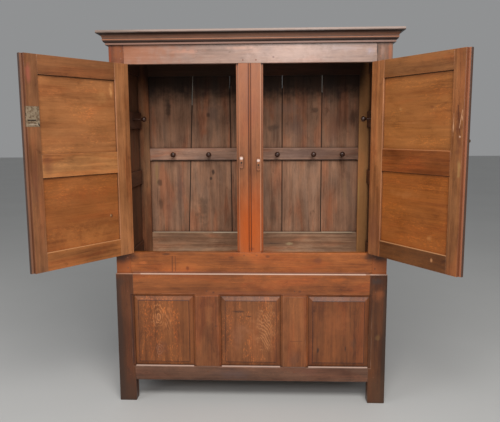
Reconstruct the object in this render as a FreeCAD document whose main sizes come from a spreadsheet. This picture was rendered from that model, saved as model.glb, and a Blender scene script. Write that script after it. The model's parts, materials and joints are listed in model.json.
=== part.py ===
import FreeCAD
import Part
import Sketcher
import os
from types import SimpleNamespace

# An oak hanging cupboard: a tall case with two doors and coat pegs, on a base with three
# raised panels. X runs to the right, Y to the back, Z up. The origin is on the floor, on the
# centre line of the case, halfway between its back and the front edge of the opened doors.

# Driving sizes in millimetres, angles in degrees
SIZES = {
    # upper case
    "total_height": 1950,
    "case_half": 711,
    "case_depth": 569,
    "origin_behind_front": 34,
    "base_top": 709,
    "waist_height": 112,
    "frieze_below_top": 160,
    "doorway_as_drawn": 969,
    "case_half_as_drawn": 711,
    "roof_thick": 18,
    "front_post_width": 76,
    "front_post_depth": 45,
    "rear_post_width": 80,
    "rear_post_depth": 35,
    "front_rail_thick": 32,
    # tenons, pins and the gaps between pieces
    "tenon_thick": 10,
    "tenon_length": 30,
    "tenon_shoulder": 14,
    "tenon_setback": 14,
    "pin_radius": 4,
    "pin_length": 24,
    "pin_proud": 0.6,
    "cut_margin": 1,
    "board_gap": 1.2,
    # centre muntin between the doors
    "muntin_face_half": 56,
    "muntin_half": 68,
    "muntin_thick": 38,
    "rebate_depth": 13.5,
    "muntin_tenon_half": 40,
    "bead_radius": 4.3,
    "bead_groove": 2,
    "bead_depth": 4,
    # cornice profile: reach outward and height above its lower edge
    "cornice_height": 67,
    "cornice_reach": 50,
    "cornice_fillet_reach": 13,
    "cornice_fillet_height": 11,
    "cornice_quirk_reach": 15,
    "cornice_bead_reach": 22.5,
    "cornice_bead_low": 21,
    "cornice_bead_high": 28,
    "cornice_bead_radius": 3.6,
    "cornice_ovolo_radius": 11,
    "cornice_step_reach": 24,
    "cornice_cove_reach": 44,
    "cornice_cove_height": 53,
    "cornice_cove_radius": 26,
    # sides of the upper case
    "side_bottom_rail_height": 74,
    "side_middle_rail_rise": 316,
    "side_middle_rail_height": 83,
    "side_peg_rail_rise": 649,
    "side_peg_rail_height": 94,
    "top_rail_below_frieze": 11,
    "side_bottom_rail_thick": 26,
    "side_middle_rail_thick": 29,
    "side_peg_rail_thick": 34,
    "side_top_rail_thick": 30,
    "side_panel_recess": 8,
    "side_panel_thick": 10,
    "side_tenon_setback": 11,
    "side_tenon_length": 18,
    "panel_tongue": 8,
    # back of the upper case
    "back_rail_setback": 2,
    "back_rail_thick": 14,
    "back_board_thick": 12,
    "back_board_end": 3,
    "back_tenon_thick": 8,
    "back_tenon_length": 20,
    "back_bottom_rail_height": 127,
    "peg_rail_rise": 456,
    "peg_rail_height": 74,
    "board_joint_one_foot": -406,
    "board_joint_one_head": -356,
    "board_joint_two_foot": -133,
    "board_joint_two_head": -142,
    "board_joint_three": 173.5,
    "board_joint_four": 410.5,
    # turned coat pegs
    "peg_tenon_length": 14,
    "peg_tenon_radius": 7,
    "peg_shank_radius": 5.5,
    "peg_shank_length": 46,
    "peg_flare_radius": 10.5,
    "peg_flare_length": 52,
    "peg_knob_radius": 15.5,
    "peg_knob_start": 59,
    "peg_knob_end": 66,
    "peg_length": 75,
    "peg_dome_radius": 15,
    "peg_tip_radius": 5,
    "peg_one": -479,
    "peg_two": -265,
    "peg_three": -58,
    "peg_four": 144,
    "peg_five": 359,
    "peg_six": 528,
    "left_side_peg_above_rail": 52,
    "left_side_peg_depth": 330,
    "right_side_peg_above_rail": 46,
    "right_side_peg_depth": 272,
    # base
    "base_overhang": 3,
    "base_step": 13,
    "base_leg_width": 90,
    "base_leg_depth": 60,
    "base_rear_leg_width": 60,
    "base_rear_leg_depth": 50,
    "base_rail_thick": 35,
    "base_top_rail_height": 123,
    "base_clearance": 119,
    "base_bottom_rail_height": 81,
    "base_centre_opening_half": 159,
    "base_side_opening_inner": 305,
    "moulding_width": 14,
    "moulding_foot_width": 5,
    "moulding_depth": 11,
    "panel_setback": 14,
    "panel_thick": 8,
    "panel_bevel_width": 24,
    "panel_bevel_height": 9,
    "panel_field_height": 2.5,
    "base_side_rail_thick": 30,
    "base_back_rail_thick": 30,
    "base_back_board_setback": 12,
    "base_back_board_thick": 10,
    "floor_top": 165,
    "floor_thick": 18,
    "cleat_thick": 20,
    "cleat_height": 25,
    # doors
    "left_door_angle": 126.3,
    "right_door_angle": 122.4,
    "door_gap": 2,
    "lip_gap": 1.7,
    "edge_gap": 1.7,
    "door_thick": 27,
    "lip_thick": 13,
    "lip_width": 13,
    "hinge_stile_width": 85,
    "meeting_stile_width": 75,
    "door_top_rail_height": 85,
    "left_middle_rail_rise": 428,
    "left_middle_rail_height": 105,
    "left_bottom_rail_height": 86,
    "right_middle_rail_rise": 434,
    "right_middle_rail_height": 109,
    "right_bottom_rail_height": 83,
    "door_tenon_thick": 8,
    "door_tenon_setback": 10,
    "door_tenon_length": 40,
    "door_moulding_width": 10,
    "door_moulding_depth": 6,
    "door_panel_setback": 9,
    "door_panel_thick": 8,
    "door_bevel_width": 26,
    "door_bevel_height": 4,
    "door_field_height": 1.5,
    # hinges
    "axis_proud": 5.5,
    "hinge_length": 56,
    "upper_hinge_below_frieze": 161,
    "lower_hinge_above_waist": 110,
    "barrel_radius": 4.5,
    "hinge_bore_radius": 2.2,
    "hinge_pin_radius": 2.14,
    "leaf_thick": 1.5,
    "leaf_depth": 24,
    "knuckle_gap": 0.3,
    "pin_head_radius": 3.6,
    "pin_head_height": 2,
    # lock of the left door
    "lock_rise": 655,
    "lock_height": 88,
    "lock_plate_width": 60,
    "lock_plate_depth": 2,
    "lock_width": 52,
    "lock_depth": 14,
    "lock_proud": 1,
    "bolt_thick": 6,
    "bolt_height": 14,
    "bolt_length": 38,
    "bolt_above_lock_bottom": 46,
    "bolt_setback": 18,
    "bolt_play": 0.3,
    "strike_depth": 14,
    "lock_slot_width": 46,
    "lock_slot_height": 7,
    "lock_slot_above": 22,
    "lock_slot_depth": 2,
    "keyhole_radius": 4,
    "keyhole_slot_width": 4,
    "keyhole_slot_length": 13,
    "keyhole_above_lock_bottom": 34,
    "escutcheon_thick": 1.6,
    "escutcheon_half": 13,
    "escutcheon_top": 16,
    "escutcheon_shoulder": -10,
    "escutcheon_point": -30,
    "escutcheon_top_radius": 16,
    "escutcheon_foot_radius": 30,
    # knob of the right door
    "knob_rise": 585,
    "knob_from_edge": 18,
    "knob_tenon_length": 12,
    "knob_stem_radius": 3.5,
    "knob_stem_length": 10,
    "knob_radius": 7.5,
    "knob_shoulder": 14,
    "knob_dome_start": 19,
    "knob_length": 24,
    "knob_dome_radius": 8,
    "knob_tip_radius": 2.5,
    # turn buttons on the muntin
    "button_half_width": 9,
    "button_upper_straight": 31,
    "button_lower_straight": 23,
    "button_end_radius": 10.5,
    "button_thick": 8,
    "button_gap": 0.4,
    "left_button_offset": -43,
    "left_button_rise": 471,
    "right_button_offset": 44,
    "right_button_rise": 459,
    "button_bore_radius": 2.56,
    "button_screw_radius": 2.5,
    "button_screw_length": 18,
    "button_screw_head_radius": 4.6,
    "button_screw_head_height": 2.2,
}

LEFT, RIGHT = -1, 1

doc = FreeCAD.newDocument("oak_cupboard")
sheet = doc.addObject("Spreadsheet::Sheet", "sizes")
NODES = []


# Sizes that carry their value and their formula on the sheet


class Size:
    """A length or an angle, with its present value and its formula."""

    def __init__(self, value, formula):
        self.value = value
        self.formula = formula

    def __add__(self, other):
        return Size(self.value + other.value, f"({self.formula} + {other.formula})")

    def __sub__(self, other):
        return Size(self.value - other.value, f"({self.formula} - {other.formula})")

    def __neg__(self):
        return Size(-self.value, f"(0 - {self.formula})")

    def __mul__(self, factor):
        return Size(self.value * factor, f"({self.formula} * {factor})")

    def __truediv__(self, divisor):
        return Size(self.value / divisor, f"({self.formula} / {divisor})")

    def shared(self, part, whole):
        """As much of this size as the part is of the whole."""
        formula = f"({self.formula} * {part.formula} / {whole.formula})"
        return Size(self.value * part.value / whole.value, formula)


def fill_sheet():
    """Write every driving size into the sheet and return them as named sizes."""
    named = {}
    for row, (alias, number) in enumerate(SIZES.items(), start=1):
        sheet.set(f"A{row}", alias.replace("_", " "))
        sheet.set(f"B{row}", str(number))
        sheet.setAlias(f"B{row}", alias)
        named[alias] = Size(number, f"sizes.{alias}")
    doc.recompute()
    return SimpleNamespace(**named)


dim = fill_sheet()
ZERO = Size(0, "0")

# Planes that many pieces share
front = ZERO - dim.origin_behind_front
back = front + dim.case_depth
base_front = front - dim.base_step
case_top = dim.total_height - dim.roof_thick
cornice_bottom = dim.total_height - dim.cornice_height
post_inner = dim.case_half - dim.front_post_width
rear_post_inner = dim.case_half - dim.rear_post_width
rear_post_front = back - dim.rear_post_depth
base_half = dim.case_half + dim.base_overhang
leg_inner = base_half - dim.base_leg_width
leg_back = base_front + dim.base_leg_depth
rear_leg_inner = base_half - dim.base_rear_leg_width
rear_leg_front = back - dim.base_rear_leg_depth
base_bottom_rail_top = dim.base_clearance + dim.base_bottom_rail_height
base_top_rail_bottom = dim.base_top - dim.base_top_rail_height
waist_top = dim.base_top + dim.waist_height
frieze_bottom = dim.total_height - dim.frieze_below_top
inner_top_rail_bottom = frieze_bottom - dim.top_rail_below_frieze
doorway = frieze_bottom - waist_top


def up_doorway(rise):
    """A height that keeps its share of the doorway when the case is made taller."""
    return waist_top + doorway.shared(rise, dim.doorway_as_drawn)


def across_case(offset):
    """A distance from the centre plane that keeps its share of the case's width."""
    return dim.case_half.shared(offset, dim.case_half_as_drawn)


side_middle_rail_bottom = up_doorway(dim.side_middle_rail_rise)
side_peg_rail_bottom = up_doorway(dim.side_peg_rail_rise)
peg_rail_bottom = up_doorway(dim.peg_rail_rise)
peg_height = peg_rail_bottom + dim.peg_rail_height / 2
lock_bottom = up_doorway(dim.lock_rise)
centre_opening_half = across_case(dim.base_centre_opening_half)
side_opening_inner = across_case(dim.base_side_opening_inner)


# Building blocks


def side_name(side):
    return "left" if side == LEFT else "right"


def mirrored(side, inner, outer):
    """The span between two distances from the centre plane, on one side of it."""
    return (inner, outer) if side == RIGHT else (-outer, -inner)


def on_side(side, distance):
    """A place at a distance from the centre plane, on one side of it."""
    return distance if side == RIGHT else -distance


def grown(span, amount):
    return (span[0] - amount, span[1] + amount)


def bind(piece, prop, size):
    piece.setExpression(prop, size.formula)


def place(piece, x, y, z):
    for axis, size in (("x", x), ("y", y), ("z", z)):
        bind(piece, f"Placement.Base.{axis}", size)


def turn(piece, axis, angle):
    piece.Placement.Rotation = FreeCAD.Rotation(axis, angle)


def block(name, x, y, z):
    """A box between two corners, given as spans along X, Y and Z."""
    box = doc.addObject("Part::Box", name)
    bind(box, "Length", x[1] - x[0])
    bind(box, "Width", y[1] - y[0])
    bind(box, "Height", z[1] - z[0])
    place(box, x[0], y[0], z[0])
    return box


def frustum(name, near, far, depth):
    """A tapered block from one rectangle of X and Z spans to another, along Y."""
    wedge = doc.addObject("Part::Wedge", name)
    bind(wedge, "Xmin", near[0][0])
    bind(wedge, "Xmax", near[0][1])
    bind(wedge, "Zmin", near[1][0])
    bind(wedge, "Zmax", near[1][1])
    bind(wedge, "X2min", far[0][0])
    bind(wedge, "X2max", far[0][1])
    bind(wedge, "Z2min", far[1][0])
    bind(wedge, "Z2max", far[1][1])
    bind(wedge, "Ymin", depth[0])
    bind(wedge, "Ymax", depth[1])
    return wedge


def rod(name, radius, start, length, axis=None, angle=0):
    """A cylinder from a start point, along Z or along Z turned about an axis."""
    cylinder = doc.addObject("Part::Cylinder", name)
    bind(cylinder, "Radius", radius)
    bind(cylinder, "Height", length)
    if axis:
        turn(cylinder, axis, angle)
    place(cylinder, *start)
    return cylinder


def rod_along_y(name, radius, start, length):
    return rod(name, radius, start, length, FreeCAD.Vector(1, 0, 0), -90)


def fused(name, pieces):
    if len(pieces) == 1:
        return pieces[0]
    fuse = doc.addObject("Part::MultiFuse", name)
    fuse.Shapes = pieces
    fuse.Refine = True
    return fuse


def shaped(name, blank, added=(), removed=()):
    """A blank with tongues or tenons added, then mortises, grooves and bores removed."""
    piece = fused(f"{name}_stock", [blank, *added])
    if removed:
        cut = doc.addObject("Part::Cut", f"{name}_cut")
        cut.Base = piece
        cut.Tool = fused(f"{name}_cutters", list(removed))
        cut.Refine = True
        piece = cut
    return piece


def gathered(name, pieces):
    """Separate solids in one group, each where it already lies."""
    group = doc.addObject("Part::Compound", name)
    group.Links = list(pieces)
    return group


def node(label, *pieces):
    """A kept sub-part: one piece, or a group of separate solids."""
    piece = pieces[0] if len(pieces) == 1 else gathered(f"{label}_group", pieces)
    piece.Label = label
    NODES.append(piece)
    return piece


# Sketched profiles


def sketch_on(body, role, name):
    sketch = body.newObject("Sketcher::SketchObject", name)
    plane = next(item for item in body.Origin.OriginFeatures if item.Role == role)
    sketch.AttachmentSupport = [(plane, "")]
    sketch.MapMode = "FlatFace"
    return sketch


def arc_between(start, end, radius, side):
    """An arc of the radius between two points, bulging to the left (1) or right (-1)."""
    chord = end - start
    half = chord.Length / 2
    rise = radius - (radius**2 - half**2) ** 0.5
    normal = FreeCAD.Vector(-chord.y, chord.x, 0).normalize()
    return Part.Arc(start, start + chord / 2 + normal * (side * rise), end)


def fix_point(sketch, edge, point, across, up):
    """Hold a point of the sketch at two bound distances from its origin."""
    for kind, size, axis in (("DistanceX", across, -2), ("DistanceY", up, -1)):
        if size.value == 0:
            sketch.addConstraint(Sketcher.Constraint("PointOnObject", edge, point, axis))
            continue
        held = Sketcher.Constraint(kind, -1, 1, edge, point, size.value)
        index = sketch.addConstraint(held)
        sketch.setExpression(f"Constraints[{index}]", size.formula)


def draw(sketch, corners):
    """A closed outline. Each corner is (across, up), or (across, up, radius, side) where
    the edge that follows it is an arc."""
    vectors = [FreeCAD.Vector(corner[0].value, corner[1].value, 0) for corner in corners]
    first_ends = []
    for index, corner in enumerate(corners):
        start = vectors[index]
        end = vectors[(index + 1) % len(corners)]
        if len(corner) == 2:
            edge = sketch.addGeometry(Part.LineSegment(start, end), False)
        else:
            arc = arc_between(start, end, corner[2].value, corner[3])
            edge = sketch.addGeometry(arc, False)
        near = sketch.getPoint(edge, 1).distanceToPoint(start)
        far = sketch.getPoint(edge, 2).distanceToPoint(start)
        first_ends.append(1 if near < far else 2)
    for index, corner in enumerate(corners):
        following = (index + 1) % len(corners)
        last_end = 3 - first_ends[index]
        fix_point(sketch, index, first_ends[index], corner[0], corner[1])
        sketch.addConstraint(
            Sketcher.Constraint("Coincident", index, last_end, following, first_ends[following])
        )
        if len(corner) == 4:
            held = Sketcher.Constraint("Radius", index, corner[2].value)
            number = sketch.addConstraint(held)
            sketch.setExpression(f"Constraints[{number}]", corner[2].formula)


def turned(name, corners):
    """A piece turned on the lathe: an outline of (radius, along) corners about Z."""
    body = doc.addObject("PartDesign::Body", name)
    sketch = sketch_on(body, "XZ_Plane", f"{name}_profile")
    draw(sketch, corners)
    revolution = body.newObject("PartDesign::Revolution", f"{name}_turning")
    revolution.Profile = sketch
    revolution.ReferenceAxis = (sketch, ["V_Axis"])
    revolution.Angle = 360
    return body


def padded(name, role, corners, length, reverse=False):
    """A piece of constant section: an outline on an origin plane, padded off it."""
    body = doc.addObject("PartDesign::Body", name)
    sketch = sketch_on(body, role, f"{name}_outline")
    draw(sketch, corners)
    pad = body.newObject("PartDesign::Pad", f"{name}_pad")
    pad.Profile = sketch
    pad.Reversed = reverse
    bind(pad, "Length", length)
    return body


# Framed panels: the openings, their mouldings and the raised panels in them


def opening_moulding(name, x, z, face, width, foot_width, depth):
    """The sloping moulding around a panel opening, as the block that it cuts away."""
    near = (grown(x, width), (z[0] - foot_width, z[1] + width))
    return frustum(name, near, (x, z), (face, face + depth))


def raised_panel(name, x, z, tongue_front, bevel_width, bevel_height, field_height, thick):
    """A panel with a tongue all round, a bevel and a raised field toward the front."""
    tongue = block(
        f"{name}_tongue",
        grown(x, dim.panel_tongue),
        (tongue_front, tongue_front + thick),
        grown(z, dim.panel_tongue),
    )
    field = (grown(x, -bevel_width), grown(z, -bevel_width))
    bevel_face = tongue_front - bevel_height
    bevel = frustum(f"{name}_bevel", field, (x, z), (bevel_face, tongue_front))
    raised = block(f"{name}_field", field[0], (bevel_face - field_height, bevel_face), field[1])
    return tongue, fused(name, [tongue, bevel, raised])


# Front frame of the upper case


def tenons_along_x(name, half, y, z):
    """The two end tenons of a rail that runs from side to side."""
    spans = grown(z, -dim.tenon_shoulder)
    pair = []
    for side in (LEFT, RIGHT):
        reach = mirrored(side, half, half + dim.tenon_length)
        pair.append(block(f"{name}_tenon_{side_name(side)}", reach, y, spans))
    return pair


rail_tenon_y = (front + dim.tenon_setback, front + dim.tenon_setback + dim.tenon_thick)
rail_y = (front, front + dim.front_rail_thick)
rail_x = (-post_inner, post_inner)
frieze_z = (frieze_bottom, case_top)
waist_z = (dim.base_top, waist_top)

frieze_tenons = tenons_along_x("frieze", post_inner, rail_tenon_y, frieze_z)
waist_tenons = tenons_along_x("waist", post_inner, rail_tenon_y, waist_z)
muntin_tenons = [
    block(
        f"muntin_tenon_{end}",
        (-dim.muntin_tenon_half, dim.muntin_tenon_half),
        rail_tenon_y,
        z,
    )
    for end, z in (
        ("top", (frieze_bottom, frieze_bottom + dim.tenon_length)),
        ("foot", (waist_top - dim.tenon_length, waist_top)),
    )
]


# Oak pins through the joints of both front frames


def pin(name, x, z, face):
    start = (x, face - dim.pin_proud, z)
    return rod_along_y(name, dim.pin_radius, start, dim.pin_length + dim.pin_proud)


def pin_places():
    """Where the pins sit: the plane of the face, then the distances across and up."""
    inset = dim.tenon_length / 2
    frieze_low = frieze_bottom + dim.tenon_shoulder * 2
    frieze_high = cornice_bottom - dim.tenon_shoulder * 2
    waist_low = dim.base_top + dim.tenon_shoulder * 2
    waist_high = waist_top - dim.tenon_shoulder * 2
    muntin_pin = dim.muntin_tenon_half - dim.tenon_shoulder / 2
    places = []
    for side in (LEFT, RIGHT):
        post_pin = on_side(side, post_inner + inset)
        for height in (frieze_low, frieze_high, waist_low, waist_high):
            places.append((front, post_pin, height))
        tenon_pin = on_side(side, muntin_pin)
        places.append((front, tenon_pin, waist_top - inset))
        places.append((front, tenon_pin, frieze_bottom + inset))
        leg_pin = on_side(side, leg_inner + inset + inset)
        top_low = base_top_rail_bottom + dim.tenon_shoulder * 2
        top_high = dim.base_top - dim.tenon_shoulder * 2
        bottom_low = dim.base_clearance + dim.tenon_shoulder * 2
        for height in (top_low, top_high, bottom_low):
            places.append((base_front, leg_pin, height))
        middle = (centre_opening_half + side_opening_inner) / 2
        muntin_x = on_side(side, middle)
        places.append((base_front, muntin_x, base_top_rail_bottom + inset + inset))
        places.append((base_front, muntin_x, base_bottom_rail_top - inset - inset))
    return places


case_pins = []
base_pins = []
for number, (face, x, z) in enumerate(pin_places()):
    group = case_pins if face == front else base_pins
    group.append(pin(f"oak_pin_{number}", x, z, face))
node("oak_pins", *case_pins, *base_pins)


# Sides of the upper case

SIDE_RAILS = (
    (
        "bottom",
        dim.base_top,
        dim.base_top + dim.side_bottom_rail_height,
        dim.side_bottom_rail_thick,
    ),
    (
        "middle",
        side_middle_rail_bottom,
        side_middle_rail_bottom + dim.side_middle_rail_height,
        dim.side_middle_rail_thick,
    ),
    (
        "peg",
        side_peg_rail_bottom,
        side_peg_rail_bottom + dim.side_peg_rail_height,
        dim.side_peg_rail_thick,
    ),
    ("top", inner_top_rail_bottom, case_top, dim.side_top_rail_thick),
)
side_span = (front + dim.front_post_depth, rear_post_front)
side_panel_outer = dim.case_half - dim.side_panel_recess
side_panel_inner = side_panel_outer - dim.side_panel_thick


def side_panels(side):
    """The three panels of one side, between its four rails."""
    panels = []
    for below, above in zip(SIDE_RAILS, SIDE_RAILS[1:]):
        panel = block(
            f"side_panel_{below[0]}_{side_name(side)}",
            mirrored(side, side_panel_inner, side_panel_outer),
            grown(side_span, dim.panel_tongue),
            grown((below[2], above[1]), dim.panel_tongue),
        )
        panels.append(panel)
    return panels


def side_tenons(side):
    """The tenons of one side's rails, at their front and back ends."""
    outer = dim.case_half - dim.side_tenon_setback
    x = mirrored(side, outer - dim.back_tenon_thick, outer)
    ends = (
        (side_span[0] - dim.side_tenon_length, side_span[0]),
        (side_span[1], side_span[1] + dim.side_tenon_length),
    )
    rows = []
    for label, low, high, _ in SIDE_RAILS:
        z = grown((low, high), -dim.tenon_shoulder)
        rows.append([block(f"side_{label}_tenon_{side_name(side)}", x, y, z) for y in ends])
    return rows


def peg_corners():
    return [
        (ZERO, -dim.peg_tenon_length),
        (dim.peg_tenon_radius, -dim.peg_tenon_length),
        (dim.peg_tenon_radius, ZERO),
        (dim.peg_shank_radius, dim.peg_shank_length),
        (dim.peg_flare_radius, dim.peg_flare_length),
        (dim.peg_knob_radius, dim.peg_knob_start),
        (dim.peg_knob_radius, dim.peg_knob_end, dim.peg_dome_radius, -1),
        (dim.peg_tip_radius, dim.peg_length),
        (ZERO, dim.peg_length),
    ]


SIDE_PEG_PLACES = {
    LEFT: (dim.left_side_peg_depth, dim.left_side_peg_above_rail),
    RIGHT: (dim.right_side_peg_depth, dim.right_side_peg_above_rail),
}
side_peg_face = dim.case_half - dim.side_peg_rail_thick
coat_pegs = []


def side_peg(side):
    """The coat peg of one side and the bore for its tenon."""
    x = on_side(side, side_peg_face)
    depth, above_rail = SIDE_PEG_PLACES[side]
    y = front + depth
    z = side_peg_rail_bottom + above_rail
    bore_x = mirrored(side, side_peg_face, side_peg_face + dim.peg_tenon_length)[0]
    peg = turned(f"side_peg_{side_name(side)}", peg_corners())
    turn(peg, FreeCAD.Vector(0, 1, 0), -90 * side)
    place(peg, x, y, z)
    bore = rod(
        f"side_peg_bore_{side_name(side)}",
        dim.peg_tenon_radius,
        (bore_x, y, z),
        dim.peg_tenon_length,
        FreeCAD.Vector(0, 1, 0),
        90,
    )
    coat_pegs.append(peg)
    return bore


def side_frame(side):
    """Rails and panels of one side. Returns what its posts are cut by."""
    name = side_name(side)
    panels = side_panels(side)
    tenons = side_tenons(side)
    bore = side_peg(side)
    rails = []
    for row, (label, low, high, thick) in enumerate(SIDE_RAILS):
        x = mirrored(side, dim.case_half - thick, dim.case_half)
        blank = block(f"side_{label}_rail_blank_{name}", x, side_span, (low, high))
        removed = panels[max(row - 1, 0) : row + 1]
        if label == "peg":
            removed = [*removed, bore]
        rails.append(shaped(f"side_{label}_rail_{name}", blank, tenons[row], removed))
    node(f"side_rails_{name}", *rails)
    node(f"side_panels_{name}", *panels)
    return [*panels, *(tenon for pair in tenons for tenon in pair)]


side_cutters = {side: side_frame(side) for side in (LEFT, RIGHT)}


# Hinges: a leaf let into the post and a leaf let into the door, on one pin

hinge_x = post_inner - dim.edge_gap / 2
hinge_y = front - dim.axis_proud
HINGES = (
    ("upper", frieze_bottom - dim.upper_hinge_below_frieze),
    ("lower", waist_top + dim.lower_hinge_above_waist),
)
KNUCKLES = 5


def hinge_leaf(name, axis_x, axis_y, bottom, outward, first_knuckle):
    """One leaf of a butt hinge about an axis. Outward is 1 where the plate lies toward +X
    of the axis and -1 where it lies toward -X. Returns the plate and the whole leaf."""
    near = dim.edge_gap / 2
    far = near + dim.leaf_thick
    x = (axis_x + near, axis_x + far) if outward > 0 else (axis_x - far, axis_x - near)
    face = axis_y + dim.axis_proud
    plate_z = (bottom, bottom + dim.hinge_length)
    plate = block(f"{name}_plate", x, (face, face + dim.leaf_depth), plate_z)
    step = dim.hinge_length / KNUCKLES
    pieces = [plate]
    for knuckle in range(first_knuckle, KNUCKLES, 2):
        low = bottom + step * knuckle + dim.knuckle_gap / 2
        high = bottom + step * (knuckle + 1) - dim.knuckle_gap / 2
        web = block(f"{name}_web_{knuckle}", x, (axis_y, face), (low, high))
        barrel = rod(
            f"{name}_barrel_{knuckle}", dim.barrel_radius, (axis_x, axis_y, low), high - low
        )
        pieces.extend([web, barrel])
    bore = rod(
        f"{name}_bore", dim.hinge_bore_radius, (axis_x, axis_y, bottom), dim.hinge_length
    )
    return plate, shaped(name, plate, pieces[1:], [bore])


def hinge_pin(name, axis_x, axis_y, bottom):
    shank = rod(f"{name}_shank", dim.hinge_pin_radius, (axis_x, axis_y, bottom), dim.hinge_length)
    top = bottom + dim.hinge_length
    head = rod(f"{name}_head", dim.pin_head_radius, (axis_x, axis_y, top), dim.pin_head_height)
    return fused(name, [shank, head])


def case_hinges():
    """The case's leaves and the pins. Returns the plates that each post is cut by."""
    plates = {}
    leaves = []
    pins = []
    for side in (LEFT, RIGHT):
        x = on_side(side, hinge_x)
        plates[side] = []
        for label, bottom in HINGES:
            name = f"case_leaf_{label}_{side_name(side)}"
            plate, leaf = hinge_leaf(name, x, hinge_y, bottom, side, 0)
            plates[side].append(plate)
            leaves.append(leaf)
            pins.append(hinge_pin(f"hinge_pin_{label}_{side_name(side)}", x, hinge_y, bottom))
    node("case_hinge_leaves", *leaves)
    node("hinge_pins", *pins)
    return plates


hinge_plates = case_hinges()


# Posts, rails and muntin of the upper case's front

back_board_y = (
    rear_post_front + dim.back_rail_setback + dim.back_rail_thick,
    rear_post_front + dim.back_rail_setback + dim.back_rail_thick + dim.back_board_thick,
)
back_board_half = rear_post_inner + dim.panel_tongue
back_board_z = (dim.base_top + dim.back_board_end, case_top - dim.back_board_end)
back_rail_y = (rear_post_front + dim.back_rail_setback, back_board_y[0])
BACK_RAILS = (
    ("back_bottom_rail", dim.base_top, dim.base_top + dim.back_bottom_rail_height),
    ("peg_rail", peg_rail_bottom, peg_rail_bottom + dim.peg_rail_height),
    ("back_top_rail", inner_top_rail_bottom, case_top),
)
back_tenon_front = back_rail_y[0] + (dim.back_rail_thick - dim.back_tenon_thick) / 2
back_tenon_y = (back_tenon_front, back_tenon_front + dim.back_tenon_thick)


def back_tenon(label, low, high, side):
    return block(
        f"{label}_tenon_{side_name(side)}",
        mirrored(side, rear_post_inner, rear_post_inner + dim.back_tenon_length),
        back_tenon_y,
        grown((low, high), -dim.tenon_shoulder),
    )


back_tenons = {
    side: [back_tenon(*rail, side) for rail in BACK_RAILS] for side in (LEFT, RIGHT)
}


def posts(side):
    """The front and rear post of one side."""
    name = side_name(side)
    index = 0 if side == LEFT else 1
    height = (dim.base_top, case_top)
    front_blank = block(
        f"front_post_blank_{name}",
        mirrored(side, post_inner, dim.case_half),
        (front, front + dim.front_post_depth),
        height,
    )
    front_cutters = [
        *side_cutters[side],
        *hinge_plates[side],
        frieze_tenons[index],
        waist_tenons[index],
        *case_pins,
    ]
    node(f"front_post_{name}", shaped(f"front_post_{name}", front_blank, (), front_cutters))
    rear_blank = block(
        f"rear_post_blank_{name}",
        mirrored(side, rear_post_inner, dim.case_half),
        (rear_post_front, back),
        height,
    )
    groove = block(
        f"rear_post_groove_{name}",
        mirrored(side, rear_post_inner, back_board_half),
        back_board_y,
        back_board_z,
    )
    rear_cutters = [*side_cutters[side], *back_tenons[side], groove]
    node(f"rear_post_{name}", shaped(f"rear_post_{name}", rear_blank, (), rear_cutters))


for side in (LEFT, RIGHT):
    posts(side)

frieze_blank = block("frieze_blank", rail_x, rail_y, frieze_z)
frieze_cutters = [muntin_tenons[0], *case_pins]
node("frieze_rail", shaped("frieze_rail", frieze_blank, frieze_tenons, frieze_cutters))

waist_blank = block("waist_blank", rail_x, rail_y, waist_z)
waist_cutters = [muntin_tenons[1], *case_pins]
node("waist_rail", shaped("waist_rail", waist_blank, waist_tenons, waist_cutters))


def button_place(side):
    offset = dim.left_button_offset if side == LEFT else dim.right_button_offset
    rise = dim.left_button_rise if side == LEFT else dim.right_button_rise
    return offset, up_doorway(rise)


def bolt_block(name, face_y, x, play):
    """The lock bolt, or with play the way that it runs in, behind the given door face."""
    low = lock_bottom + dim.bolt_above_lock_bottom
    y = grown((face_y + dim.bolt_setback, face_y + dim.bolt_setback + dim.bolt_thick), play)
    return block(name, x, y, grown((low, low + dim.bolt_height), play))


def centre_muntin():
    """The muntin that both doors close against, with a bead down its middle."""
    height = (waist_top, frieze_bottom)
    core_y = (front + dim.rebate_depth, front + dim.muntin_thick)
    core = block("muntin_core", (-dim.muntin_half, dim.muntin_half), core_y, height)
    face = block(
        "muntin_face",
        (-dim.muntin_face_half, dim.muntin_face_half),
        (front, front + dim.rebate_depth),
        height,
    )
    groove_half = dim.bead_radius + dim.bead_groove
    channel = block(
        "muntin_channel", (-groove_half, groove_half), (front, front + dim.bead_depth), height
    )
    removed = [channel, *case_pins]
    strike_x = (-dim.muntin_half, -dim.muntin_half + dim.strike_depth)
    removed.append(bolt_block("muntin_strike", front, strike_x, dim.bolt_play * 3))
    for side in (LEFT, RIGHT):
        x, z = button_place(side)
        bore = rod_along_y(
            f"button_bore_{side_name(side)}",
            dim.button_screw_radius,
            (x, front, z),
            dim.button_screw_length,
        )
        removed.append(bore)
    grooved = shaped("grooved_muntin", core, [face, *muntin_tenons], removed)
    bead_start = (ZERO, front + dim.bead_radius, waist_top)
    bead = rod("muntin_bead", dim.bead_radius, bead_start, height[1] - height[0])
    return fused("centre_muntin", [grooved, bead])


node("centre_muntin", centre_muntin())


# Turn buttons and their screws


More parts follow.
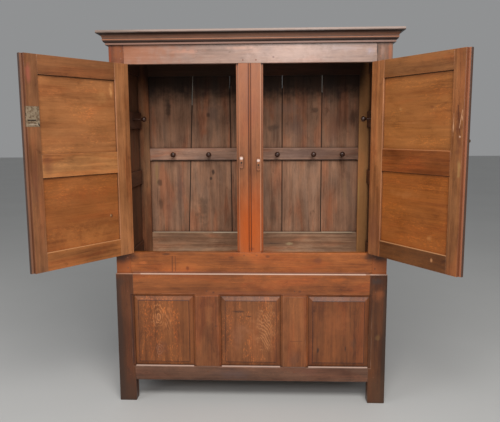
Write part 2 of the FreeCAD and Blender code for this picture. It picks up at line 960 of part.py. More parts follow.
def turn_button(side):
    """A wooden button that turns on a screw to hold a door shut."""
    name = side_name(side)
    x, z = button_place(side)
    half = dim.button_half_width
    upper = dim.button_upper_straight
    lower = -dim.button_lower_straight
    outline = [
        (-half, lower),
        (-half, upper, dim.button_end_radius, 1),
        (half, upper),
        (half, lower, dim.button_end_radius, 1),
    ]
    button = padded(f"turn_button_body_{name}", "XZ_Plane", outline, dim.button_thick)
    place(button, x, front - dim.button_gap, z)
    rear = front - dim.button_gap - dim.button_thick
    bore = rod_along_y(
        f"turn_button_bore_{name}",
        dim.button_bore_radius,
        (x, rear - dim.cut_margin, z),
        dim.button_thick + dim.cut_margin * 2,
    )
    node(f"turn_button_{name}", shaped(f"turn_button_{name}", button, (), [bore]))
    head_back = rear - dim.button_gap
    shank = rod_along_y(
        f"button_screw_shank_{name}",
        dim.button_screw_radius,
        (x, head_back, z),
        dim.button_screw_length + (front - head_back),
    )
    head = rod_along_y(
        f"button_screw_head_{name}",
        dim.button_screw_head_radius,
        (x, head_back - dim.button_screw_head_height, z),
        dim.button_screw_head_height,
    )
    return fused(f"button_screw_{name}", [shank, head])


node("button_screws", *(turn_button(side) for side in (LEFT, RIGHT)))


# Back of the upper case, with its peg rail

PEG_OFFSETS = (
    dim.peg_one,
    dim.peg_two,
    dim.peg_three,
    dim.peg_four,
    dim.peg_five,
    dim.peg_six,
)


def back_peg(number, x):
    """A coat peg on the peg rail and the bore for its tenon."""
    peg = turned(f"back_peg_{number}", peg_corners())
    turn(peg, FreeCAD.Vector(1, 0, 0), 90)
    place(peg, x, back_rail_y[0], peg_height)
    bore = rod_along_y(
        f"back_peg_bore_{number}",
        dim.peg_tenon_radius,
        (x, back_rail_y[0], peg_height),
        dim.peg_tenon_length,
    )
    coat_pegs.append(peg)
    return bore


peg_bores = [back_peg(number, across_case(x)) for number, x in enumerate(PEG_OFFSETS)]
node("coat_pegs", *coat_pegs)

for index, (label, low, high) in enumerate(BACK_RAILS):
    blank = block(f"{label}_blank", (-rear_post_inner, rear_post_inner), back_rail_y, (low, high))
    tenons = [back_tenons[side][index] for side in (LEFT, RIGHT)]
    bores = peg_bores if label == "peg_rail" else ()
    node(label, shaped(label, blank, tenons, bores))


def back_board_edges(joint_one, joint_two):
    """Where the back boards begin and end; the first two joints lean."""
    return (
        -back_board_half,
        across_case(joint_one),
        across_case(joint_two),
        across_case(dim.board_joint_three),
        across_case(dim.board_joint_four),
        back_board_half,
    )


def board_spans(edges):
    """The spans of boards side by side, with a gap at each joint between them."""
    spans = []
    for number, (low, high) in enumerate(zip(edges, edges[1:])):
        left = low if number == 0 else low + dim.board_gap / 2
        right = high if number == len(edges) - 2 else high - dim.board_gap / 2
        spans.append((left, right))
    return spans


def boards_across(name, edges, y, z):
    return [block(f"{name}_{number}", x, y, z) for number, x in enumerate(board_spans(edges))]


def tapered_boards(name, feet, heads, y, z):
    """Upright boards that may be wider at the foot or at the head."""
    depth = (-y[1], -y[0])
    boards = []
    for number, (foot, head) in enumerate(zip(board_spans(feet), board_spans(heads))):
        board = frustum(f"{name}_{number}", (foot, depth), (head, depth), z)
        turn(board, FreeCAD.Vector(1, 0, 0), 90)
        boards.append(board)
    return boards


board_feet = back_board_edges(dim.board_joint_one_foot, dim.board_joint_two_foot)
board_heads = back_board_edges(dim.board_joint_one_head, dim.board_joint_two_head)
node(
    "back_boards",
    *tapered_boards("back_board", board_feet, board_heads, back_board_y, back_board_z),
)


# Roof boards and cornice

ROOF_BOARDS = 4


def roof_boards():
    width = dim.case_depth / ROOF_BOARDS
    boards = []
    for number in range(ROOF_BOARDS):
        near = front + width * number
        far = front + width * (number + 1)
        if number < ROOF_BOARDS - 1:
            far = far - dim.board_gap / 2
        y = (near, far)
        z = (case_top, dim.total_height)
        boards.append(block(f"roof_board_{number}", (-dim.case_half, dim.case_half), y, z))
    return boards


node("roof_boards", *roof_boards())


def cornice_corners(offset, outward):
    """The cornice section, reaching outward from an offset across the sketch."""

    def reach(size):
        return offset + size * outward

    return [
        (reach(ZERO), ZERO),
        (reach(dim.cornice_fillet_reach), ZERO),
        (reach(dim.cornice_fillet_reach), dim.cornice_fillet_height),
        (
            reach(dim.cornice_quirk_reach),
            dim.cornice_fillet_height,
            dim.cornice_ovolo_radius,
            -outward,
        ),
        (reach(dim.cornice_bead_reach), dim.cornice_bead_low, dim.cornice_bead_radius, -outward),
        (reach(dim.cornice_bead_reach), dim.cornice_bead_high),
        (
            reach(dim.cornice_step_reach),
            dim.cornice_bead_high,
            dim.cornice_cove_radius,
            outward,
        ),
        (reach(dim.cornice_cove_reach), dim.cornice_cove_height),
        (reach(dim.cornice_reach), dim.cornice_cove_height),
        (reach(dim.cornice_reach), dim.cornice_height),
        (reach(ZERO), dim.cornice_height),
    ]


cornice_half = dim.case_half + dim.cornice_reach
cornice_z = (cornice_bottom - dim.cut_margin, dim.total_height + dim.cut_margin)
mitre_y = (front - dim.cornice_reach, front)


def front_mitre(side):
    """What the mitre takes off one end of the front moulding."""
    outer = cornice_half + dim.cut_margin
    near = (mirrored(side, cornice_half, outer), cornice_z)
    far = (mirrored(side, dim.case_half, outer), cornice_z)
    return frustum(f"front_mitre_{side_name(side)}", near, far, mitre_y)


def return_mitre(side):
    """What the mitre takes off the front end of one side moulding."""
    inner = dim.case_half - dim.cut_margin
    near = (mirrored(side, inner, cornice_half), cornice_z)
    far = (mirrored(side, inner, dim.case_half), cornice_z)
    return frustum(f"return_mitre_{side_name(side)}", near, far, mitre_y)


front_run = padded("cornice_front_run", "YZ_Plane", cornice_corners(ZERO, -1), cornice_half * 2)
place(front_run, -cornice_half, front, cornice_bottom)
node(
    "cornice_front",
    shaped("cornice_front", front_run, (), [front_mitre(LEFT), front_mitre(RIGHT)]),
)

for side in (LEFT, RIGHT):
    name = side_name(side)
    offset = on_side(side, dim.case_half)
    run_length = dim.case_depth + dim.cornice_reach
    run = padded(
        f"cornice_run_{name}", "XZ_Plane", cornice_corners(offset, side), run_length, True
    )
    place(run, ZERO, front - dim.cornice_reach, cornice_bottom)
    node(f"cornice_{name}", shaped(f"cornice_{name}", run, (), [return_mitre(side)]))


# Front of the base: legs, rails, muntins and three raised panels

base_rail_y = (base_front, base_front + dim.base_rail_thick)
base_tenon_y = (
    base_front + dim.panel_setback,
    base_front + dim.panel_setback + dim.tenon_thick,
)
base_opening_z = (base_bottom_rail_top, base_top_rail_bottom)
base_rails_z = {
    "top": (base_top_rail_bottom, dim.base_top),
    "bottom": (dim.base_clearance, base_bottom_rail_top),
}
BASE_OPENINGS = (
    ("left", mirrored(LEFT, side_opening_inner, leg_inner)),
    ("centre", (-centre_opening_half, centre_opening_half)),
    ("right", mirrored(RIGHT, side_opening_inner, leg_inner)),
)


def base_front_cutters():
    """Mouldings and panels of the three openings. Makes the panel nodes on the way."""
    cutters = []
    for label, x in BASE_OPENINGS:
        moulding = opening_moulding(
            f"base_moulding_{label}",
            x,
            base_opening_z,
            base_front,
            dim.moulding_width,
            dim.moulding_foot_width,
            dim.moulding_depth,
        )
        tongue, panel = raised_panel(
            f"base_panel_{label}",
            x,
            base_opening_z,
            base_front + dim.panel_setback,
            dim.panel_bevel_width,
            dim.panel_bevel_height,
            dim.panel_field_height,
            dim.panel_thick,
        )
        node(f"base_panel_{label}", panel)
        cutters.extend([moulding, tongue])
    return cutters


front_cutters = base_front_cutters()
base_tenons = {
    label: tenons_along_x(f"base_{label}", leg_inner, base_tenon_y, z)
    for label, z in base_rails_z.items()
}


def base_muntin(side):
    """An upright between two panels, tenoned into both rails."""
    name = side_name(side)
    span = (centre_opening_half, side_opening_inner)
    x = mirrored(side, *span)
    tenon_x = grown(x, -dim.tenon_shoulder * 2)
    low, high = base_opening_z
    tenons = [
        block(f"base_muntin_tenon_{end}_{name}", tenon_x, base_tenon_y, z)
        for end, z in (
            ("top", (high, high + dim.tenon_length)),
            ("foot", (low - dim.tenon_length, low)),
        )
    ]
    blank = block(f"base_muntin_blank_{name}", x, base_rail_y, base_opening_z)
    cutters = [*front_cutters, *base_pins]
    return tenons, shaped(f"base_muntin_{name}", blank, tenons, cutters)


muntin_pairs = [base_muntin(side) for side in (LEFT, RIGHT)]
node("base_muntins", *(muntin for _, muntin in muntin_pairs))

for label, z in base_rails_z.items():
    blank = block(f"base_{label}_rail_blank", (-leg_inner, leg_inner), base_rail_y, z)
    mortises = [pair[0 if label == "top" else 1] for pair, _ in muntin_pairs]
    cutters = [*front_cutters, *mortises, *base_pins]
    node(f"base_{label}_rail", shaped(f"base_{label}_rail", blank, base_tenons[label], cutters))


# Sides of the base

base_side_y = (leg_back, rear_leg_front)
base_side_inner = base_half - dim.base_side_rail_thick
base_side_panel_outer = base_half - dim.panel_setback


def side_on(piece, side):
    """Turn a piece made facing the front so that it faces out of one side."""
    turn(piece, FreeCAD.Vector(0, 0, 1), 90 * side)
    return piece


def base_side(side):
    """Rails and raised panel of one side. Returns what its legs are cut by."""
    name = side_name(side)
    along = base_side_y if side == RIGHT else (-base_side_y[1], -base_side_y[0])
    face = -base_half
    moulding = opening_moulding(
        f"base_side_moulding_{name}",
        along,
        base_opening_z,
        face,
        dim.moulding_width,
        dim.moulding_foot_width,
        dim.moulding_depth,
    )
    side_on(moulding, side)
    _, panel = raised_panel(
        f"base_side_panel_{name}",
        along,
        base_opening_z,
        face + dim.panel_setback,
        dim.panel_bevel_width,
        dim.panel_bevel_height,
        dim.panel_field_height,
        dim.panel_thick,
    )
    node(f"base_side_panel_{name}", side_on(panel, side))
    groove = block(
        f"base_side_groove_{name}",
        mirrored(side, base_side_panel_outer - dim.panel_thick, base_side_panel_outer),
        grown(base_side_y, dim.panel_tongue),
        grown(base_opening_z, dim.panel_tongue),
    )
    tenons = []
    rails = []
    for label, z in base_rails_z.items():
        x = mirrored(side, base_side_inner, base_half)
        blank = block(f"base_side_{label}_blank_{name}", x, base_side_y, z)
        tenon_x = mirrored(
            side, base_side_panel_outer - dim.panel_thick, base_side_panel_outer
        )
        ends = (
            (base_side_y[0] - dim.side_tenon_length, base_side_y[0]),
            (base_side_y[1], base_side_y[1] + dim.side_tenon_length),
        )
        pair = [
            block(
                f"base_side_{label}_tenon_{name}", tenon_x, y, grown(z, -dim.tenon_shoulder)
            )
            for y in ends
        ]
        rails.append(shaped(f"base_side_{label}_rail_{name}", blank, pair, [moulding, groove]))
        tenons.extend(pair)
    node(f"base_side_rails_{name}", *rails)
    return [moulding, groove, *tenons]


base_side_cutters = {side: base_side(side) for side in (LEFT, RIGHT)}


# Back of the base

base_back_rail_y = (back - dim.base_back_rail_thick, back)
base_back_board_y = (
    base_back_rail_y[0] + dim.base_back_board_setback,
    base_back_rail_y[0] + dim.base_back_board_setback + dim.base_back_board_thick,
)
base_back_board_half = rear_leg_inner + dim.panel_tongue
base_back_board_z = grown(base_opening_z, dim.panel_tongue)
base_back_groove = block(
    "base_back_groove",
    (-base_back_board_half, base_back_board_half),
    base_back_board_y,
    base_back_board_z,
)
base_back_tenons = []
base_back_rails = []
for label, z in base_rails_z.items():
    x = (-rear_leg_inner, rear_leg_inner)
    blank = block(f"base_back_{label}_blank", x, base_back_rail_y, z)
    pair = [
        block(
            f"base_back_{label}_tenon_{side_name(side)}",
            mirrored(side, rear_leg_inner, rear_leg_inner + dim.back_tenon_length),
            base_back_board_y,
            grown(z, -dim.tenon_shoulder),
        )
        for side in (LEFT, RIGHT)
    ]
    base_back_tenons.extend(pair)
    base_back_rails.append(
        shaped(f"base_back_{label}_rail", blank, pair, [base_back_groove])
    )
node("base_back_rails", *base_back_rails)

BASE_BACK_BOARDS = 5


def even_edges(low, high, count):
    step = (high - low) / count
    return [low + step * number for number in range(count)] + [high]


base_back_edges = even_edges(-base_back_board_half, base_back_board_half, BASE_BACK_BOARDS)
node(
    "base_back_boards",
    *boards_across("base_back_board", base_back_edges, base_back_board_y, base_back_board_z),
)


# Legs of the base


def legs(side):
    """The front and rear leg of one side."""
    name = side_name(side)
    index = 0 if side == LEFT else 1
    height = (ZERO, dim.base_top)
    blank = block(
        f"front_leg_blank_{name}",
        mirrored(side, leg_inner, base_half),
        (base_front, leg_back),
        height,
    )
    cutters = [
        *front_cutters,
        *base_side_cutters[side],
        base_tenons["top"][index],
        base_tenons["bottom"][index],
        *base_pins,
    ]
    node(f"base_leg_front_{name}", shaped(f"base_leg_front_{name}", blank, (), cutters))
    rear_blank = block(
        f"rear_leg_blank_{name}",
        mirrored(side, rear_leg_inner, base_half),
        (rear_leg_front, back),
        height,
    )
    rear_cutters = [*base_side_cutters[side], base_back_groove, *base_back_tenons]
    node(f"base_leg_rear_{name}", shaped(f"base_leg_rear_{name}", rear_blank, (), rear_cutters))


for side in (LEFT, RIGHT):
    legs(side)


# Floor of the base, on cleats along its rails

FLOOR_BOARDS = 6
floor_z = (dim.floor_top - dim.floor_thick, dim.floor_top)
cleat_z = (floor_z[0] - dim.cleat_height, floor_z[0])
floor_y = (base_rail_y[1], base_back_rail_y[0])
floor_edges = even_edges(-leg_inner, leg_inner, FLOOR_BOARDS)
floor_boards = boards_across("floor_board", floor_edges, floor_y, floor_z)
cleats = [
    block(
        "floor_cleat_front",
        (-leg_inner, leg_inner),
        (floor_y[0], floor_y[0] + dim.cleat_thick),
        cleat_z,
    ),
    block(
        "floor_cleat_back",
        (-rear_leg_inner, rear_leg_inner),
        (floor_y[1] - dim.cleat_thick, floor_y[1]),
        cleat_z,
    ),
]
for side in (LEFT, RIGHT):
    name = side_name(side)
    end_x = mirrored(side, leg_inner + dim.board_gap, base_side_inner)
    floor_boards.append(block(f"floor_board_end_{name}", end_x, base_side_y, floor_z))
    cleat_x = mirrored(side, base_side_inner - dim.cleat_thick, base_side_inner)
    cleats.append(block(f"floor_cleat_{name}", cleat_x, base_side_y, cleat_z))
node("base_floor_boards", *floor_boards)
node("base_floor_cleats", *cleats)


# Doors. Each is made shut about its hinge axis, X running across the door from the hinge,
# and then swung open.

door_bottom = waist_top + dim.door_gap
door_top = frieze_bottom - dim.door_gap
door_near = dim.edge_gap / 2
door_far = hinge_x - dim.muntin_face_half - dim.lip_gap
shoulder = door_far - dim.lip_width
door_face = dim.axis_proud
door_inner_face = door_face + dim.door_thick
door_z = (door_bottom, door_top)
door_y = (door_face, door_inner_face)
hinge_stile_edge = door_near + dim.hinge_stile_width
meeting_stile_edge = door_far - dim.meeting_stile_width
door_tenon_y = (
    door_face + dim.door_tenon_setback,
    door_face + dim.door_tenon_setback + dim.door_tenon_thick,
)
DOOR_RAIL_SIZES = {
    LEFT: (
        dim.left_bottom_rail_height,
        dim.left_middle_rail_rise,
        dim.left_middle_rail_height,
    ),
    RIGHT: (
        dim.right_bottom_rail_height,
        dim.right_middle_rail_rise,
        dim.right_middle_rail_height,
    ),
}


def door_rail_spans(bottom_height, middle_rise, middle_height):
    """A door's three rails, each with its lower and upper edge."""
    middle = up_doorway(middle_rise)
    return (
        ("bottom", door_bottom, door_bottom + bottom_height),
        ("middle", middle, middle + middle_height),
        ("top", door_top - dim.door_top_rail_height, door_top),
    )


DOOR_RAILS = {side: door_rail_spans(*sizes) for side, sizes in DOOR_RAIL_SIZES.items()}
DOOR_ANGLES = {LEFT: -dim.left_door_angle, RIGHT: dim.right_door_angle}


def inward(side, near, far):
    """A span across a door, from the hinge toward the middle of the case."""
    return (near, far) if side == LEFT else (-far, -near)


def swing(side, piece):
    """Hang a door's piece on its hinge axis and open it as photographed."""
    place(piece, on_side(side, hinge_x), hinge_y, ZERO)
    turn(piece, FreeCAD.Vector(0, 0, 1), 0)
    bind(piece, "Placement.Rotation.Angle", DOOR_ANGLES[side])


def door_node(side, label, *pieces):
    """A sub-part of a door: pieces that already lie in place on the shut door, as a group
    that swings with it."""
    swing(side, node(label, gathered(f"{label}_group", pieces)))


def door_panels(side):
    """Panels of one door, and the mouldings and tongues that its frame is cut by."""
    name = side_name(side)
    rails = DOOR_RAILS[side]
    x = inward(side, hinge_stile_edge, meeting_stile_edge)
    panels = []
    cutters = []
    for below, above in zip(rails, rails[1:]):
        z = (below[2], above[1])
        label = "lower" if below[0] == "bottom" else "upper"
        moulding = opening_moulding(
            f"door_moulding_{label}_{name}",
            x,
            z,
            door_face,
            dim.door_moulding_width,
            dim.door_moulding_width,
            dim.door_moulding_depth,
        )
        tongue, panel = raised_panel(
            f"door_panel_{label}_{name}",
            x,
            z,
            door_face + dim.door_panel_setback,
            dim.door_bevel_width,
            dim.door_bevel_height,
            dim.door_field_height,
            dim.door_panel_thick,
        )
        panels.append(panel)
        cutters.extend([moulding, tongue])
    door_node(side, f"{name}_door_panels", *panels)
    return cutters


def door_rails(side, cutters):
    """Rails of one door. Returns their tenons, hinge side first."""
    name = side_name(side)
    rails = []
    tenons = {"hinge": [], "meeting": []}
    for label, low, high in DOOR_RAILS[side]:
        x = inward(side, hinge_stile_edge, meeting_stile_edge)
        blank = block(f"door_{label}_rail_blank_{name}", x, door_y, (low, high))
        z = grown((low, high), -dim.tenon_shoulder)
        ends = (
            ("hinge", hinge_stile_edge - dim.door_tenon_length, hinge_stile_edge),
            ("meeting", meeting_stile_edge, meeting_stile_edge + dim.door_tenon_length),
        )
        pair = []
        for end, near, far in ends:
            span = inward(side, near, far)
            tenon = block(f"door_{label}_tenon_{end}_{name}", span, door_tenon_y, z)
            tenons[end].append(tenon)
            pair.append(tenon)
        rails.append(shaped(f"door_{label}_rail_{name}", blank, pair, cutters))
    door_node(side, f"{name}_door_rails", *rails)
    return tenons


def door_hinge_leaves(side):
    """The door's hinge leaves. Returns the plates that its hinge stile is cut by."""
    plates = []
    leaves = []
    for label, bottom in HINGES:
        name = f"door_leaf_{label}_{side_name(side)}"
        plate, leaf = hinge_leaf(name, ZERO, ZERO, bottom, -side, 1)
        plates.append(plate)
        leaves.append(leaf)
    door_node(side, f"{side_name(side)}_door_hinge_leaves", *leaves)
    return plates


def meeting_stile_blank(side):
    """The meeting stile: full thickness to its shoulder, then a lip at the front."""
    name = side_name(side)
    core_x = inward(side, meeting_stile_edge, shoulder)
    core = block(f"meeting_stile_core_{name}", core_x, door_y, door_z)
    lip_x = inward(side, shoulder, door_far)
    lip = block(f"meeting_lip_{name}", lip_x, (door_face, door_face + dim.lip_thick), door_z)
    return core, lip


def door(side, fittings):
    """One door, whose meeting stile is also cut by the fittings let into it."""
    name = side_name(side)
    cutters = door_panels(side)
    tenons = door_rails(side, cutters)
    plates = door_hinge_leaves(side)
    hinge_blank = block(
        f"hinge_stile_blank_{name}",
        inward(side, door_near, hinge_stile_edge),
        door_y,
        door_z,
    )
    hinge_cutters = [*cutters, *tenons["hinge"], *plates]
    stile = shaped(f"{name}_hinge_stile", hinge_blank, (), hinge_cutters)
    door_node(side, f"{name}_door_hinge_stile", stile)
    core, lip = meeting_stile_blank(side)
    meeting_cutters = [*cutters, *tenons["meeting"], *fittings]
    stile = shaped(f"{name}_meeting_stile", core, [lip], meeting_cutters)
    door_node(side, f"{name}_door_meeting_stile", stile)


# Lock of the left door: a case let into the meeting stile, a sliding bolt and a keyhole

lock_x = (shoulder - dim.lock_width, shoulder)
lock_plate_x = (shoulder - dim.lock_plate_width, shoulder)
lock_z = (lock_bottom, lock_bottom + dim.lock_height)
lock_back = door_inner_face + dim.lock_proud
keyhole_x = (lock_plate_x[0] + lock_plate_x[1]) / 2
keyhole_z = lock_bottom + dim.keyhole_above_lock_bottom


def keyhole(name, start, length):
    """A round hole with a slot below it, as the block that it cuts away."""
    hole = rod_along_y(f"{name}_hole", dim.keyhole_radius, (keyhole_x, start, keyhole_z), length)
    slot_x = grown((keyhole_x, keyhole_x), dim.keyhole_slot_width / 2)
    slot_z = (keyhole_z - dim.keyhole_slot_length, keyhole_z)
    slot = block(f"{name}_slot", slot_x, (start, start + length), slot_z)
    return fused(name, [hole, slot])


def lock_pieces():
    """The lock's nodes. Returns what the left door's meeting stile is cut by."""
    plate_bed = door_inner_face - dim.lock_plate_depth
    body_y = (door_inner_face - dim.lock_depth, plate_bed)
    body = block("lock_body", lock_x, body_y, lock_z)
    lock_plate = block("lock_plate", lock_plate_x, (plate_bed, lock_back), lock_z)
    bolt_x = (shoulder - dim.bolt_length, shoulder)
    bolt_way_x = (bolt_x[0] - dim.bolt_play, shoulder)
    bolt_way = bolt_block("bolt_way", door_face, bolt_way_x, dim.bolt_play)
    slot_half = dim.lock_slot_width / 2
    slot_low = lock_bottom + dim.lock_slot_above
    slot = block(
        "lock_plate_slot",
        (keyhole_x - slot_half, keyhole_x + slot_half),
        (lock_back - dim.lock_slot_depth, lock_back),
        (slot_low, slot_low + dim.lock_slot_height),
    )
    lock_case = shaped("lock_case", lock_plate, [body], [bolt_way, slot])
    door_node(LEFT, "lock_case", lock_case)
    door_node(LEFT, "lock_bolt", bolt_block("bolt", door_face, bolt_x, ZERO))
    way_in = keyhole("keyhole_way", door_face, body_y[0] - door_face)
    outline = [
        (-dim.escutcheon_half, dim.escutcheon_top, dim.escutcheon_top_radius, 1),
        (dim.escutcheon_half, dim.escutcheon_top),
        (dim.escutcheon_half, dim.escutcheon_shoulder, dim.escutcheon_foot_radius, 1),
        (ZERO, dim.escutcheon_point, dim.escutcheon_foot_radius, 1),
        (-dim.escutcheon_half, dim.escutcheon_shoulder),
    ]
    plate = padded("escutcheon_plate", "XZ_Plane", outline, dim.escutcheon_thick)
    place(plate, keyhole_x, door_face, keyhole_z)
    plate_front = door_face - dim.escutcheon_thick
    plate_hole = keyhole("escutcheon_keyhole", plate_front, dim.escutcheon_thick)
    escutcheon = shaped("escutcheon", plate, (), [plate_hole])
    door_node(LEFT, "keyhole_escutcheon", escutcheon)
    return [body, lock_plate, way_in]


# Knob of the right door


def door_knob():
    """The turned knob on the right door's face. Returns the bore for its tenon."""
    corners = [
        (ZERO, -dim.knob_tenon_length),
        (dim.knob_stem_radius, -dim.knob_tenon_length),
        (dim.knob_stem_radius, dim.knob_stem_length),
        (dim.knob_radius, dim.knob_shoulder),
        (dim.knob_radius, dim.knob_dome_start, dim.knob_dome_radius, -1),
        (dim.knob_tip_radius, dim.knob_length),
        (ZERO, dim.knob_length),
    ]
    x = dim.knob_from_edge - door_far
    knob_height = up_doorway(dim.knob_rise)
    knob = turned("knob_turning", corners)
    turn(knob, FreeCAD.Vector(1, 0, 0), 90)
    place(knob, x, door_face, knob_height)
    bore = rod_along_y(
        "knob_bore",
        dim.knob_stem_radius,
        (x, door_face, knob_height),
        dim.knob_tenon_length,
    )
    door_node(RIGHT, "door_knob", knob)
    return [bore]


door(LEFT, lock_pieces())
door(RIGHT, door_knob())

doc.recompute()


# Checks and export


def check(piece):
    """Stop on a feature that failed or a shape that is empty or broken."""
    for item in doc.Objects:
        if "Invalid" in item.State or "Error" in item.State:
            raise RuntimeError(f"{item.Name} failed: {item.State}")
    if piece.Shape.isNull() or not piece.Shape.isValid() or not piece.Shape.Solids:
        raise RuntimeError(f"{piece.Label} has no valid solid")


os.makedirs("parts", exist_ok=True)
for piece in NODES:
    check(piece)
for piece in NODES:
    piece.Shape.exportStep(f"parts/{piece.Label}.step")
    print(piece.Label, len(piece.Shape.Solids), "solids,", round(piece.Shape.Volume), "mm3")
print(len(NODES), "nodes")
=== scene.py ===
import json
import math
import random
import bmesh
import bpy
from mathutils import Matrix, Vector


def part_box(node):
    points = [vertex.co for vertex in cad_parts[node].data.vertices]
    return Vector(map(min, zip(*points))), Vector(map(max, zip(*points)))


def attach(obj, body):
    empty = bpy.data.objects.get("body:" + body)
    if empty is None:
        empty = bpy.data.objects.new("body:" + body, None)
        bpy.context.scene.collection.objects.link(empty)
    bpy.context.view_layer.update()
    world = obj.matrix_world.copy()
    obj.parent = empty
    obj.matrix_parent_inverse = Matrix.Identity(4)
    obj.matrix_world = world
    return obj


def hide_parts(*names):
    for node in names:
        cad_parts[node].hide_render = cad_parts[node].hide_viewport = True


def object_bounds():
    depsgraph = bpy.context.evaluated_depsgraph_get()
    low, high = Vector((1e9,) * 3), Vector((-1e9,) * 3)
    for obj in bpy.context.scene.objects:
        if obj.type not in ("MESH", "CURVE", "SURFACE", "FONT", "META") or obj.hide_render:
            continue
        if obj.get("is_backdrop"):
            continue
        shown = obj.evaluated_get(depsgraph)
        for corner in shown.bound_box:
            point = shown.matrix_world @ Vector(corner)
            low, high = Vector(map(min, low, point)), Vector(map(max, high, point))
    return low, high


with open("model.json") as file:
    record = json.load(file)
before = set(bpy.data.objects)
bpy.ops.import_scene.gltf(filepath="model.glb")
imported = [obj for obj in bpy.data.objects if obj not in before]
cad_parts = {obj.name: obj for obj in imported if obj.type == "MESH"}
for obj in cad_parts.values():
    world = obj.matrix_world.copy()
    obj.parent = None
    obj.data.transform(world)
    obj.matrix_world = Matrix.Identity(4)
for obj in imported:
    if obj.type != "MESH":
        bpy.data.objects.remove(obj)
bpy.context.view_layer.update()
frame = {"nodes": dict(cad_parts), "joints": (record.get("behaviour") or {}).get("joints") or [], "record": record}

# Points that lie closer than this are one point
WELD = 2e-5
# Faces that turn by less than this from one to the next are one flat face
FLAT_ANGLE = math.radians(0.3)
# Two edges at more than this make one straight line
STRAIGHT_ANGLE = math.radians(179.9)
# Arrises that turn by more than this are rounded
ARRIS_ANGLE = math.radians(35)
# Facets that turn by less than this are shaded as one curved surface
SMOOTH_ANGLE = math.radians(46)
# A facet narrower than this belongs to a turned or moulded surface
FACET_WIDTH = 0.009


def srgb(red, green, blue):
    """A colour as it looks on screen, 0 to 255, as linear light"""
    out = []
    for value in (red, green, blue):
        share = value / 255
        out.append(share / 12.92 if share <= 0.04045 else ((share + 0.055) / 1.055) ** 2.4)
    return tuple(out)


def opaque(colour):
    return (*colour, 1.0)


def put(name, data):
    """A new object of the scene that holds this data"""
    made = bpy.data.objects.new(name, data)
    bpy.context.scene.collection.objects.link(made)
    return made


def as_object(name, mesh):
    """A worked mesh as a new object of the scene"""
    data = bpy.data.meshes.new(name)
    mesh.to_mesh(data)
    mesh.free()
    return put(name, data)


# Where each door hangs, how far it turns to shut, and what belongs to which body
joints = {joint["name"]: joint for joint in frame["joints"]}
hinges = {
    "left_door": Vector(joints["left_door_hinge"]["pos_m"]),
    "right_door": Vector(joints["right_door_hinge"]["pos_m"]),
}
turns = {
    "left_door": math.radians(joints["left_door_hinge"]["range_deg"][1]),
    "right_door": -math.radians(joints["right_door_hinge"]["range_deg"][1]),
}
body_of = {}
for body, members in frame["record"]["behaviour"]["bodies"].items():
    for member in members:
        body_of[member] = body


